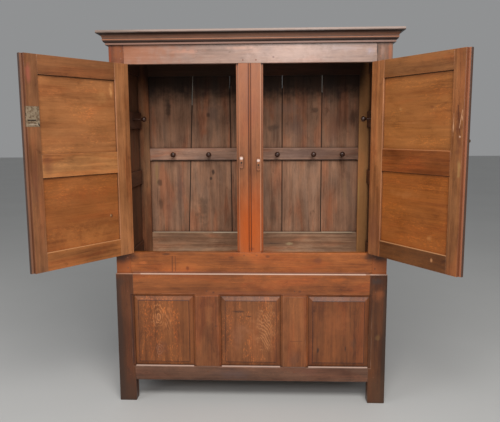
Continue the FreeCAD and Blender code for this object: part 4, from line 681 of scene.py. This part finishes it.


# Stains, rubs, painted highlights, painted sheen and painted shade, each in its piece's own frame
CORNICE_LIGHT_AND_SHADE = (
    # Bands of the profile: a pale top that is dust and painted highlight, a painted shadow under it, a mid-brown
    # cove, a painted highlight on the bead, a painted shadow under the bead, a painted highlight on the lower
    # fillet and a painted shadow under the cornice
    band(1.9475, 0.0085, (170, 150, 140), 0.7, 0.6, 0.1),
    band(1.9345, 0.0056, (20, 10, 7), 0.85, 0.5),
    band(1.921, 0.009, (122, 74, 48), 0.5, 0.8),
    band(1.9078, 0.0045, (172, 112, 80), 0.65, 0.7),
    band(1.898, 0.006, (26, 12, 8), 0.85, 0.5),
    band(1.888, 0.006, (146, 106, 90), 0.55, 0.6, 0.1),
    band(1.883, 0.0012, (30, 16, 12), 0.8, 0.5),
    blot((-0.70, -0.1, 1.944), (0.24, 0.2, 0.012), (104, 88, 78), 0.6, 1.0, 0.2),
)
# Painted shade at the top of the inside, where the frieze and roof keep the light out
INSIDE_TOP_SHADE = (14, 8, 5)
WORN_FOOT = (156, 82, 34)
MARKS = {
    "cornice_front": CORNICE_LIGHT_AND_SHADE,
    "cornice_left": CORNICE_LIGHT_AND_SHADE,
    "cornice_right": CORNICE_LIGHT_AND_SHADE,
    "frieze_rail": (
        # Painted sheen across the middle; the orange-brown at the left end is where the painted sheen stops
        flat_mark(0.20, FRONT, 1.84, 0.30, 0.09, (206, 176, 164), 0.35, 1.0, 0.4),
        flat_mark(-0.62, FRONT, 1.84, 0.42, 0.14, (150, 82, 38), 0.65, 1.0),
        flat_mark(-0.30, FRONT, 1.85, 0.10, 0.012, (196, 140, 116), 0.4, 0.9, 0.6),
        flat_mark(-0.05, FRONT, 1.865, 0.10, 0.010, (206, 156, 134), 0.4, 0.9, 0.6),
        flat_mark(0.09, FRONT, 1.855, 0.05, 0.020, (134, 116, 112), 0.4, 1.0, 0.5),
        # Painted reflection: a small bluish-grey patch
        flat_mark(0.596, FRONT, 1.845, 0.036, 0.024, (150, 144, 158), 0.4, 1.0, 0.5),
        flat_mark(0.47, FRONT, 1.858, 0.12, 0.018, (160, 142, 142), 0.4, 1.0, 0.4),
        flat_mark(0.12, FRONT, 1.818, 0.008, 0.006, (96, 66, 62), 0.7),
        flat_mark(0.634, FRONT, 1.853, 0.0035, 0.03, (60, 35, 28), 0.85, 0.5, 0.02),
    ),
    "front_post_right": (
        flat_mark(0.636, FRONT, 1.853, 0.0035, 0.03, (60, 35, 28), 0.85, 0.5, 0.02),
        flat_mark(0.660, FRONT, 1.845, 0.014, 0.05, (176, 138, 120), 0.35, 0.9),
        flat_mark(0.698, FRONT, 1.835, 0.014, 0.08, (160, 80, 30), 0.5, 0.9),
        flat_mark(0.67, FRONT, 0.72, 0.10, 0.14, WORN_FOOT, 0.85, 0.5, 0.1),
        # Painted shadow under the open right door
        flat_mark(0.68, FRONT, 0.806, 0.09, 0.045, (46, 26, 16), 0.85, 0.8, 0.1),
    ),
    "front_post_left": (
        flat_mark(-0.665, FRONT, 1.85, 0.05, 0.12, (146, 82, 40), 0.6, 0.8),
        flat_mark(-0.706, FRONT, 1.83, 0.012, 0.09, (150, 66, 18), 0.55, 0.9),
        line((-0.663, 1.79), (-0.663, 1.88), 0.003, (116, 66, 50), 0.5),
        flat_mark(-0.67, FRONT, 0.72, 0.10, 0.14, WORN_FOOT, 0.85, 0.5, 0.1),
        # Painted shadow under the open left door
        flat_mark(-0.69, FRONT, 0.80, 0.09, 0.05, (46, 26, 16), 0.85, 0.8, 0.1),
    ),
    "waist_rail": (
        flat_mark(-0.334, FRONT, 0.736, 0.012, 0.016, (104, 48, 20), 0.7),
        line((-0.415, 0.715), (-0.413, 0.80), 0.003, (64, 34, 22), 0.8),
        line((-0.397, 0.72), (-0.397, 0.80), 0.0025, (78, 42, 26), 0.7),
        flat_mark(-0.445, FRONT, 0.812, 0.03, 0.008, (76, 42, 26), 0.7),
        flat_mark(-0.10, FRONT, 0.795, 0.02, 0.010, (86, 46, 28), 0.6),
        flat_mark(0.09, FRONT, 0.80, 0.016, 0.010, (84, 44, 26), 0.6),
        flat_mark(0.354, FRONT, 0.779, 0.03, 0.022, (110, 58, 34), 0.6),
        flat_mark(-0.57, FRONT, 0.765, 0.03, 0.012, (190, 104, 52), 0.5),
        # Painted shadows of the open doors at both ends
        flat_mark(0.62, FRONT, 0.80, 0.05, 0.035, (58, 32, 20), 0.7, 1.0),
        flat_mark(-0.62, FRONT, 0.80, 0.04, 0.035, (58, 32, 20), 0.7, 1.0),
        # Painted highlight along the top arris
        line((-0.60, 0.8285), (0.60, 0.8285), 0.0028, (214, 160, 126), 0.7),
        line((-0.62, 0.714), (0.62, 0.714), 0.006, (128, 84, 66), 0.5),
    ),
    "centre_muntin": (
        # Painted sheen pales the top of the muntin; a strong orange below
        blot((0.0, FRONT, 1.74), (0.14, 0.14, 0.50), (160, 94, 58), 0.6, 1.0, 0.03),
        blot((0.0, FRONT, 0.93), (0.14, 0.14, 0.36), (184, 80, 4), 0.75, 1.0, 0.05),
        # Painted shade in the quirks beside the bead
        line((-0.0065, 0.83), (-0.0065, 1.81), 0.0028, (84, 34, 18), 0.85),
        line((0.0065, 0.83), (0.0065, 1.81), 0.0028, (84, 34, 18), 0.85),
        # Painted highlights on the two front arrises
        line((-0.0555, 0.83), (-0.0555, 1.79), 0.0025, (206, 150, 116), 0.4),
        line((0.0555, 0.83), (0.0555, 1.79), 0.0028, (216, 160, 124), 0.55),
        flat_mark(-0.018, FRONT, 1.357, 0.004, 0.012, (120, 60, 36), 0.6),
        flat_mark(0.01, FRONT, 0.842, 0.02, 0.012, (110, 48, 22), 0.6),
    ),
    "rear_post_left": (
        # Painted shade at the top
        blot((-0.60, 0.46, 1.90), (0.105, 0.2, 0.38), INSIDE_TOP_SHADE, 0.85, 0.5, 0.05),
    ),
    "side_rails_left": (
        # Painted shade over the whole inner face, and deeper painted shade at the top
        blot((-0.60, 0.25, 1.30), (0.098, 3.0, 3.0), (58, 32, 22), 0.5, 0.3, 0.02),
        blot((-0.60, 0.25, 1.90), (0.098, 3.0, 0.50), INSIDE_TOP_SHADE, 0.85, 0.6, 0.05),
    ),
    "side_panels_left": (
        # Painted shade over the whole inner face, and deeper painted shade at the top
        blot((-0.60, 0.25, 1.30), (0.098, 3.0, 3.0), (52, 28, 20), 0.6, 0.3, 0.02),
        blot((-0.60, 0.25, 1.90), (0.098, 3.0, 0.50), INSIDE_TOP_SHADE, 0.85, 0.6, 0.05),
    ),
    # Painted shade at the top of the right side
    "side_rails_right": (blot((0.60, 0.25, 1.90), (0.098, 3.0, 0.50), INSIDE_TOP_SHADE, 0.85, 0.6, 0.05),),
    "side_panels_right": (blot((0.60, 0.25, 1.90), (0.098, 3.0, 0.50), INSIDE_TOP_SHADE, 0.85, 0.6, 0.05),),
    "back_boards": (
        # Painted shade at the top of the back boards
        blot((0.0, BOARDS, 1.90), (3.0, 0.011, 0.33), INSIDE_TOP_SHADE, 0.88, 0.45, 0.08),
        board_mark(-0.515, 1.60, 0.022, 0.12, (36, 25, 20), 0.7, 0.9),
        board_mark(-0.273, 1.55, 0.018, 0.02, (45, 30, 24), 0.65),
        board_mark(-0.297, 1.452, 0.025, 0.03, (150, 84, 50), 0.5),
        board_mark(-0.24, 1.56, 0.06, 0.07, (112, 88, 78), 0.45, 0.9, 0.5),
        board_mark(-0.595, 1.206, 0.014, 0.09, (156, 122, 80), 0.65),
        board_mark(-0.578, 1.143, 0.02, 0.03, (58, 42, 33), 0.6),
        board_mark(-0.574, 1.01, 0.018, 0.05, (64, 48, 37), 0.5),
        board_mark(-0.452, 1.111, 0.04, 0.19, (92, 70, 63), 0.55, 0.9),
        board_mark(-0.52, 0.97, 0.04, 0.16, (138, 76, 54), 0.45, 1.0),
        board_mark(-0.247, 1.206, 0.012, 0.022, (46, 31, 24), 0.8),
        board_mark(-0.261, 1.166, 0.010, 0.014, (46, 31, 24), 0.8),
        board_mark(-0.313, 0.969, 0.05, 0.12, (78, 60, 47), 0.5, 0.9, 0.6),
        board_mark(0.20, 1.585, 0.15, 0.05, (142, 108, 90), 0.5, 1.0, 0.4),
        board_mark(0.26, 1.47, 0.09, 0.10, (112, 86, 76), 0.5, 1.0, 0.4),
        board_mark(0.371, 1.577, 0.03, 0.02, (58, 41, 33), 0.5),
        board_mark(0.483, 1.47, 0.07, 0.13, (126, 78, 58), 0.5, 0.9),
        board_mark(0.598, 1.53, 0.03, 0.07, (56, 41, 34), 0.55, 0.9),
        board_mark(0.12, 1.47, 0.05, 0.03, (60, 46, 40), 0.5, 0.9, 0.5),
        board_mark(0.46, 0.99, 0.05, 0.18, (156, 94, 62), 0.5, 0.9),
        board_mark(0.556, 1.095, 0.02, 0.1, (156, 118, 82), 0.45, 0.9),
        board_mark(0.12, 0.98, 0.03, 0.2, (84, 62, 48), 0.5, 1.0),
    ),
    "back_bottom_rail": (
        flat_mark(0.221, RAILS, 0.763, 0.035, 0.011, (176, 150, 112), 0.75, 0.8, 0.35),
        # Painted highlights along the top arris
        line((-0.62, 0.834), (0.62, 0.834), 0.006, (176, 156, 132), 0.7),
        line((0.42, 0.836), (0.60, 0.836), 0.003, (214, 198, 170), 0.8),
        line((-0.25, 0.833), (-0.09, 0.833), 0.003, (226, 210, 184), 0.85),
        line((0.08, 0.826), (0.60, 0.826), 0.004, (56, 42, 34), 0.5),
        flat_mark(0.12, RAILS, 0.765, 0.09, 0.006, (72, 56, 46), 0.6, 0.8, 0.3),
    ),
    "peg_rail": (
        # Painted highlight along the top arris
        line((-0.62, 1.348), (0.62, 1.348), 0.005, (160, 124, 104), 0.5),
        flat_mark(0.3, RAILS, 1.315, 0.34, 0.04, (128, 100, 90), 0.45, 1.0),
        # Painted shadow under the rail
        line((-0.62, 1.279), (0.62, 1.279), 0.005, (40, 24, 18), 0.85),
    ),
    "rear_post_right": (
        blot((0.64, 0.47, 1.30), (0.070, 0.06, 3.0), (226, 160, 100), 0.45, 0.3, 0.02),
        # Painted shade at the top
        blot((0.60, 0.46, 1.90), (0.105, 0.2, 0.36), INSIDE_TOP_SHADE, 0.9, 0.5, 0.05),
        flat_mark(0.637, RAILS, 1.074, 0.006, 0.12, (206, 168, 104), 0.8, 0.8, 0.1),
        flat_mark(0.655, RAILS, 0.98, 0.06, 0.36, (172, 120, 68), 0.5, 1.0),
    ),
    "base_top_rail": (
        # Painted highlight, on a worn arris, along the ledge
        line((-0.58, 0.7085), (0.60, 0.7085), 0.0042, (238, 214, 200), 0.9),
        line((-0.66, 0.7085), (0.66, 0.7085), 0.0042, (190, 150, 126), 0.6),
        flat_mark(0.468, BASE, 0.68, 0.07, 0.016, (190, 100, 40), 0.4, 0.9, 0.4),
        flat_mark(-0.196, BASE, 0.608, 0.010, 0.008, (66, 36, 24), 0.7),
        flat_mark(0.26, BASE, 0.615, 0.010, 0.008, (66, 36, 24), 0.6),
        flat_mark(0.0, BASE, 0.60, 0.6, 0.022, (112, 66, 46), 0.4, 1.0),
        flat_mark(0.10, BASE, 0.65, 0.12, 0.03, (164, 92, 44), 0.4, 1.0, 0.5),
    ),
    "base_bottom_rail": (
        flat_mark(-0.1, BASE, 0.155, 0.14, 0.04, (88, 68, 64), 0.6, 1.0),
        flat_mark(0.30, BASE, 0.17, 0.10, 0.03, (110, 66, 50), 0.5, 1.0),
    ),
    "base_panel_left": (
        field_line("base_panel_left", 0.003, (66, 34, 24), 0.75),
        flat_mark(-0.493, BASE, 0.468, 0.03, 0.045, (176, 112, 72), 0.35, 1.0, 1.0),
        figure(-0.493, 0.475, 0.045, 0.09, 0.011, (214, 140, 84), 0.5),
        figure(-0.440, 0.45, 0.035, 0.13, 0.009, (196, 124, 76), 0.35, (-0.49, 0.20)),
        figure(-0.49, 0.29, 0.03, 0.05, 0.010, (196, 136, 104), 0.5),
        flat_mark(-0.48, BASE, 0.29, 0.05, 0.05, (92, 52, 34), 0.5, 0.9, 0.6),
    ),
    "base_panel_centre": (
        flat_mark(-0.065, BASE, 0.504, 0.04, 0.007, (58, 34, 24), 0.7, 0.7, 0.35),
        flat_mark(-0.009, BASE, 0.478, 0.02, 0.006, (58, 34, 24), 0.7, 0.7, 0.35),
        field_line("base_panel_centre", 0.003, (66, 34, 24), 0.75),
        figure(0.078, 0.40, 0.055, 0.17, 0.0065, (222, 152, 96), 0.4, (0.04, 0.12)),
        flat_mark(0.07, BASE, 0.40, 0.08, 0.14, (170, 110, 70), 0.3, 1.0, 0.8),
        flat_mark(-0.06, BASE, 0.38, 0.05, 0.12, (150, 96, 66), 0.4, 1.0, 0.5),
    ),
    "base_panel_right": (
        field_line("base_panel_right", 0.003, (66, 34, 24), 0.75),
        flat_mark(0.358, BASE, 0.295, 0.009, 0.022, (46, 29, 22), 0.85, 0.8, 0.3),
        flat_mark(0.503, BASE, 0.302, 0.005, 0.022, (46, 29, 22), 0.85, 0.8, 0.2),
        flat_mark(0.545, BASE, 0.32, 0.03, 0.05, (84, 54, 36), 0.5, 0.9, 0.5),
        flat_mark(0.44, BASE, 0.45, 0.12, 0.10, (150, 84, 44), 0.35, 1.0, 0.5),
    ),
    "base_muntins": (
        line((0.21, 0.341), (0.275, 0.344), 0.0025, (66, 34, 24), 0.45),
        flat_mark(0.235, BASE, 0.24, 0.05, 0.07, (92, 60, 44), 0.5, 1.0),
        flat_mark(-0.185, BASE, 0.424, 0.010, 0.007, (84, 48, 30), 0.7),
        flat_mark(-0.22, BASE, 0.48, 0.03, 0.10, (164, 104, 60), 0.4, 1.0, 0.4),
    ),
    "base_leg_front_left": (
        line((-0.714, 0.66), (-0.705, 0.0), 0.036, (48, 32, 24), 0.75),
        flat_mark(-0.67, BASE, 0.03, 0.12, 0.22, (64, 44, 32), 0.7, 1.0, 0.2),
        flat_mark(-0.69, BASE, 0.665, 0.03, 0.04, (66, 42, 28), 0.6, 0.9, 0.4),
        # Painted shade of the moulding beside the panel
        line((-0.637, 0.595), (-0.634, 0.212), 0.005, (66, 36, 26), 0.75),
        # Painted highlight along the ledge
        line((-0.72, 0.7085), (-0.62, 0.7085), 0.0042, (180, 132, 106), 0.8),
    ),
    "base_leg_front_right": (
        line((0.714, 0.62), (0.708, 0.0), 0.022, (48, 34, 24), 0.7),
        flat_mark(0.668, BASE, 0.366, 0.02, 0.02, (130, 96, 54), 0.35, 0.9, 0.6),
        flat_mark(0.66, BASE, 0.675, 0.035, 0.022, (64, 48, 42), 0.75, 0.9, 0.5),
        flat_mark(0.67, BASE, 0.60, 0.04, 0.05, (160, 88, 44), 0.4, 1.0, 0.3),
        flat_mark(0.68, BASE, 0.03, 0.12, 0.20, (80, 54, 36), 0.6, 1.0, 0.2),
        # Painted highlight along the ledge
        line((0.62, 0.7085), (0.72, 0.7085), 0.0042, (206, 166, 144), 0.85),
    ),
    "left_door_panels": (
        flat_mark(0.104, INNER, 1.655, 0.02, 0.05, (236, 174, 112), 0.6, 1.0, 0.4),
        flat_mark(0.16, INNER, 1.62, 0.06, 0.05, (196, 142, 84), 0.35, 1.0, 0.4),
        flat_mark(0.28, INNER, 1.425, 0.24, 0.035, (140, 78, 42), 0.45, 0.9, 0.3),
        flat_mark(0.247, INNER, 1.425, 0.014, 0.006, (100, 50, 30), 0.7),
        flat_mark(0.26, INNER, 1.15, 0.24, 0.06, (150, 76, 36), 0.45, 1.0, 0.4),
        flat_mark(0.28, INNER, 0.95, 0.32, 0.10, (184, 116, 60), 0.5, 1.0, 0.4),
        flat_mark(0.129, INNER, 1.034, 0.012, 0.014, (70, 38, 22), 0.8),
        flat_mark(0.133, INNER, 1.037, 0.004, 0.008, (206, 176, 136), 0.8),
    ),
    "left_door_rails": (
        flat_mark(0.475, INNER, 1.31, 0.035, 0.07, (112, 62, 42), 0.55, 0.9, 0.2),
    ),
    "left_door_meeting_stile": (
        flat_mark(0.546, INNER, 1.704, 0.018, 0.06, (166, 84, 72), 0.5, 0.9),
        flat_mark(0.54, INNER, 1.24, 0.035, 0.18, (112, 70, 52), 0.45, 1.0, 0.2),
    ),
    "right_door_panels": (
        flat_mark(-0.383, INNER, 1.553, 0.018, 0.010, (112, 60, 30), 0.65, 0.8, 0.3),
        flat_mark(-0.244, INNER, 1.527, 0.07, 0.006, (126, 74, 36), 0.6, 0.8, 0.3),
        flat_mark(-0.192, INNER, 1.549, 0.016, 0.014, (196, 148, 92), 0.5, 0.9, 0.4),
        flat_mark(-0.25, INNER, 1.485, 0.14, 0.004, (190, 126, 76), 0.4, 0.8, 0.3),
        flat_mark(-0.40, INNER, 0.967, 0.024, 0.03, (214, 148, 86), 0.6, 1.0, 0.4),
        flat_mark(-0.25, INNER, 1.15, 0.16, 0.03, (176, 112, 62), 0.45, 1.0, 0.4),
    ),
    "right_door_rails": (
        flat_mark(-0.422, INNER, 0.870, 0.009, 0.012, (206, 146, 98), 0.6),
    ),
    "right_door_hinge_stile": (
        flat_mark(-0.04, INNER, 0.95, 0.06, 0.20, (120, 72, 52), 0.5, 1.0, 0.2),
    ),
    "right_door_meeting_stile": (
        flat_mark(-0.512, INNER, 1.47, 0.005, 0.05, (206, 158, 122), 0.7, 0.8, 0.4),
        flat_mark(-0.540, INNER, 1.49, 0.022, 0.10, (88, 42, 22), 0.75, 0.9, 0.4),
        line((-0.532, 1.555), (-0.549, 1.43), 0.0030, (66, 28, 14), 0.8, INNER),
        line((-0.556, 1.535), (-0.543, 1.46), 0.0026, (206, 158, 122), 0.6, INNER),
        flat_mark(-0.556, INNER, 1.50, 0.004, 0.018, (206, 158, 122), 0.7, 0.8, 0.3),
        flat_mark(-0.548, INNER, 1.425, 0.008, 0.007, (214, 176, 152), 0.7, 0.8, 0.5),
        flat_mark(-0.545, INNER, 1.37, 0.020, 0.07, (98, 54, 32), 0.6, 0.9, 0.6),
        flat_mark(-0.549, INNER, 1.29, 0.012, 0.05, (168, 134, 82), 0.5, 0.9, 0.5),
    ),
    "turn_button_left": (
        # Painted highlight on the polished upper end, painted shadow under the lower end
        flat_mark(-0.043, -0.05, 1.315, 0.014, 0.011, (226, 204, 194), 0.85, 0.6, 0.1),
        flat_mark(-0.043, -0.05, 1.278, 0.016, 0.014, (84, 46, 34), 0.75, 0.8, 0.1),
    ),
    "turn_button_right": (
        # Painted highlight on the polished upper end, painted shadow under the lower end
        flat_mark(0.044, -0.05, 1.303, 0.014, 0.011, (226, 204, 194), 0.85, 0.6, 0.1),
        flat_mark(0.044, -0.05, 1.266, 0.016, 0.014, (84, 46, 34), 0.75, 0.8, 0.1),
    ),
}


def add_marks(node, *marks):
    MARKS[node] = MARKS.get(node, ()) + marks


# How far inside an edge the line along it lies
LINE_INSET = 0.001


def mark_door(side, way, lip_paint, rebate_shade):
    """Painted shadows under a door's rails, painted highlights on its arrises, and the edge that it closes with,
    its rebate in painted shade
    """
    bottom, middle, top = (extent(points, 2) for points in solids(f"{side}_door_rails"))
    hinge_edge = max(abs(x) for x in extent(solids(f"{side}_door_hinge_stile")[0], 0))
    near, far = sorted(abs(x) for x in extent(solids(f"{side}_door_meeting_stile")[0], 0))
    # painted shadows under the middle and top rails
    for rail in (middle, top):
        under = rail[0] - LINE_INSET
        shadow = line((way * hinge_edge, under), (way * near, under), 0.0032, (50, 22, 12), 0.9)
        add_marks(f"{side}_door_panels", shadow)
    # painted highlight on the bottom rail's top arris
    lit = bottom[1] - LINE_INSET
    rail_highlight = line((way * hinge_edge, lit), (way * near, lit), 0.0028, (216, 158, 110), 0.55)
    add_marks(f"{side}_door_rails", rail_highlight)
    # painted highlight along the hinge stile's inner arris
    arris = way * (hinge_edge - 2 * LINE_INSET)
    stile_highlight = line((arris, bottom[1]), (arris, top[0]), 0.0025, (206, 146, 110), 0.4)
    add_marks(f"{side}_door_hinge_stile", stile_highlight)
    add_marks(
        f"{side}_door_meeting_stile",
        blot((way * (far - 0.007), 0.0185, 1.3), (0.0068, 0.005, 5.0), lip_paint, 0.75, 0.5, 0.02),
        # painted shade in the rebate
        blot((way * (far - 0.013), 0.0260, 1.3), (0.0020, 0.013, 5.0), rebate_shade, 0.7, 0.5, 0.02),
        blot((way * far, 0.012, 1.3), (0.0022, 0.03, 5.0), (60, 45, 40), 0.85, 0.5, 0.0),
    )


mark_door("left", 1, (132, 94, 74), (96, 54, 34))
mark_door("right", -1, (162, 102, 76), (112, 64, 42))
# Painted highlight along the top arris of the right door's middle rail
mid_rail_top = extent(solids("right_door_rails")[1], 2)[1] - LINE_INSET
add_marks(
    "right_door_rails",
    line((-0.08, mid_rail_top), (-0.50, mid_rail_top), 0.0028, (206, 142, 96), 0.45),
)

# The painted highlight on the arris of the bottom rail in each opening of the base
rail_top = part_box("base_bottom_rail")[1].z - 0.002
for panel in ("base_panel_left", "base_panel_centre", "base_panel_right"):
    low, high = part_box(panel)
    start, end = (low.x + 0.012, rail_top), (high.x - 0.012, rail_top)
    add_marks("base_bottom_rail", line(start, end, 0.0028, (206, 176, 160), 0.75))


def board_edges():
    """The back boards from left to right: X spans at foot and head, depth and height"""
    found = []
    for points in solids("back_boards"):
        depth, height = extent(points, 1), extent(points, 2)
        foot = extent([p for p in points if p.z < height[0] + 0.001], 0)
        head = extent([p for p in points if p.z > height[1] - 0.001], 0)
        found.append((foot, head, depth, height))
    return sorted(found)


def joint_at(left, right, z):
    """The sides of the joint between two boards at a height"""
    low, high = left[3]
    share = (z - low) / (high - low)
    sides = ((left, 1), (right, 0))
    return tuple(board[0][side] * (1 - share) + board[1][side] * share for board, side in sides)


def joint_line(left, right, heights):
    """Points (x, z) in the middle of a joint at these heights"""
    return [(sum(joint_at(left, right, z)) / 2, z) for z in heights]


boards = board_edges()
joints_between = list(zip(boards, boards[1:]))
# The height of a joint's dark line, and of the painted light through two of the joints
JOINT_SPAN = (0.72, 1.72)
SLITS = {0: (1.61, 1.80), 3: (1.68, 1.79)}
for number, (left, right) in enumerate(joints_between):
    foot, head = joint_line(left, right, JOINT_SPAN)
    add_marks("back_boards", line(foot, head, 0.0050, (22, 13, 9), 0.85))
    beside = [(x + 0.008, z) for x, z in (foot, head)]
    add_marks("back_boards", line(*beside, 0.0030, (150, 112, 90), 0.3, BOARDS))
    # painted light through the joint, near the top
    if number in SLITS:
        ends = joint_line(left, right, SLITS[number])
        add_marks("back_boards", line(*ends, 0.0021, (255, 250, 236), 1.0, BOARDS))

for node, (tint, grain, style, width) in WOODS.items():
    piece = worn_copy(node, tint if callable(tint) else srgb(*tint), width)
    piece.data.materials.append(oak(body_of[node], grain, style, MARKS.get(node, ())))


# Above this height the joints between the back boards are open
FILL_TOP = 1.705
# How far the dark fill goes into the boards on each side
FILL_LAP = 0.0005


def joint_fillers():
    """The dark fill that lies in the joints between the back boards"""
    filler = bmesh.new()
    for left, right in joints_between:
        depth, height = left[2], left[3]
        corners = []
        for z in (height[0] + 0.002, FILL_TOP):
            low, high = joint_at(left, right, z)
            for y in (depth[0] + 0.006, depth[1] - 0.001):
                pair = (low - FILL_LAP, high + FILL_LAP)
                corners.append([filler.verts.new((x, y, z)) for x in pair])
        bmesh.ops.convex_hull(filler, input=[v for pair in corners for v in pair])
    made = as_object("joint_dust", filler)
    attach(made, "case")
    g = Graph("joint_fill_paint")
    cloud = g.noise(g.place("case"), (80, 80, 80), 3.0)
    made.data.materials.append(g.surface(g.mix(cloud, srgb(16, 10, 8), srgb(34, 24, 18)), 0.9))


joint_fillers()

old_iron = iron("old_iron", (74, 68, 64), (58, 40, 30), 0.45, 0.8)
LOCK_MARKS = (
    flat_mark(0.545, 0.05, 1.545, 0.03, 0.02, (196, 176, 146), 0.6, 1.0, 0.6),
    # Painted shadow under the bolt
    line((0.558, 1.5035), (0.523, 1.5035), 0.0042, (18, 12, 10), 0.95),
    # Painted highlight along the plate
    line((0.556, 1.486), (0.512, 1.486), 0.0032, (206, 190, 170), 0.5),
    line((0.510, 1.488), (0.504, 1.480), 0.0045, (20, 14, 12), 0.9),
)
worn_iron = iron("worn_iron", (156, 138, 114), (110, 88, 66), 0.5, 0.5, "left_door", LOCK_MARKS)
aged_brass = iron("aged_brass", (120, 92, 52), (66, 48, 30), 0.38, 0.9)
METALS = {
    "case_hinge_leaves": old_iron, "hinge_pins": old_iron, "left_door_hinge_leaves": old_iron,
    "right_door_hinge_leaves": old_iron, "button_screws": old_iron, "lock_bolt": old_iron,
    "lock_case": worn_iron, "keyhole_escutcheon": aged_brass, "door_knob": aged_brass,
}
for node, metal in METALS.items():
    piece = worn_copy(node, (0.5, 0.5, 0.5), 0.0004)
    piece.data.materials.append(metal)


# The floor, the light and the camera
def stage_floor():
    mesh = bmesh.new()
    bmesh.ops.create_grid(mesh, x_segments=4, y_segments=4, size=30)
    made = as_object("floor", mesh)
    g = Graph("floor_paint")
    cloud = g.noise(g.place("case"), (0.8, 0.8, 0.8), 3.0)
    colour = g.mix(cloud, (0.50, 0.50, 0.49), (0.56, 0.56, 0.55))
    made.data.materials.append(g.surface(colour, 0.75))
    made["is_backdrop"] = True


def area_light(name, place, aim, size, power, colour):
    lamp = bpy.data.lights.new(name, "AREA")
    lamp.shape = "RECTANGLE"
    lamp.size, lamp.size_y = size
    lamp.energy = power
    lamp.color = colour
    made = put(name, lamp)
    made.location = place
    made.rotation_mode = "QUATERNION"
    made.rotation_quaternion = (Vector(aim) - Vector(place)).to_track_quat("-Z", "Y")


# Yaw, pitch and roll in degrees, place in metres and lens in millimetres
CAMERA_TURN = (-2.316, 7.978, -0.307)
CAMERA_PLACE = (0.1174, -2.9557, 1.4515)
CAMERA_LENS = 40.96


def camera():
    """The camera of the photograph"""
    yaw, pitch, roll = (math.radians(value) for value in CAMERA_TURN)
    ahead = Vector((math.sin(yaw), math.cos(yaw), 0))
    across = Vector((math.cos(yaw), -math.sin(yaw), 0))
    up = Vector((0, 0, 1))
    look = ahead * math.cos(pitch) - up * math.sin(pitch)
    raised = ahead * math.sin(pitch) + up * math.cos(pitch)
    right = across * math.cos(roll) + raised * math.sin(roll)
    top = raised * math.cos(roll) - across * math.sin(roll)
    data = bpy.data.cameras.new("camera")
    data.lens = CAMERA_LENS
    data.sensor_width = 36
    made = put("camera", data)
    turned = Matrix((right, top, -look)).transposed().to_4x4()
    made.matrix_world = Matrix.Translation(CAMERA_PLACE) @ turned
    bpy.context.scene.camera = made


stage_floor()
area_light("key", (0.5, -3.6, 4.4), (0.0, 0.0, 0.8), (3.2, 1.6), 190, (1.0, 0.98, 0.95))
area_light("above_camera", (0.55, -3.8, 2.5), (0.0, 0.0, 1.4), (1.6, 0.9), 45, (1.0, 0.98, 0.97))
area_light("left_fill", (-3.6, -2.6, 2.2), (0.0, 0.0, 0.9), (2.2, 2.2), 40, (0.97, 0.98, 1.0))
world = bpy.data.worlds.new("studio")
world.use_nodes = True
world.node_tree.nodes["Background"].inputs["Color"].default_value = (0.62, 0.63, 0.64, 1)
world.node_tree.nodes["Background"].inputs["Strength"].default_value = 0.45
bpy.context.scene.world = world
bpy.context.scene.view_settings.view_transform = "Standard"
camera()

low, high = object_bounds()
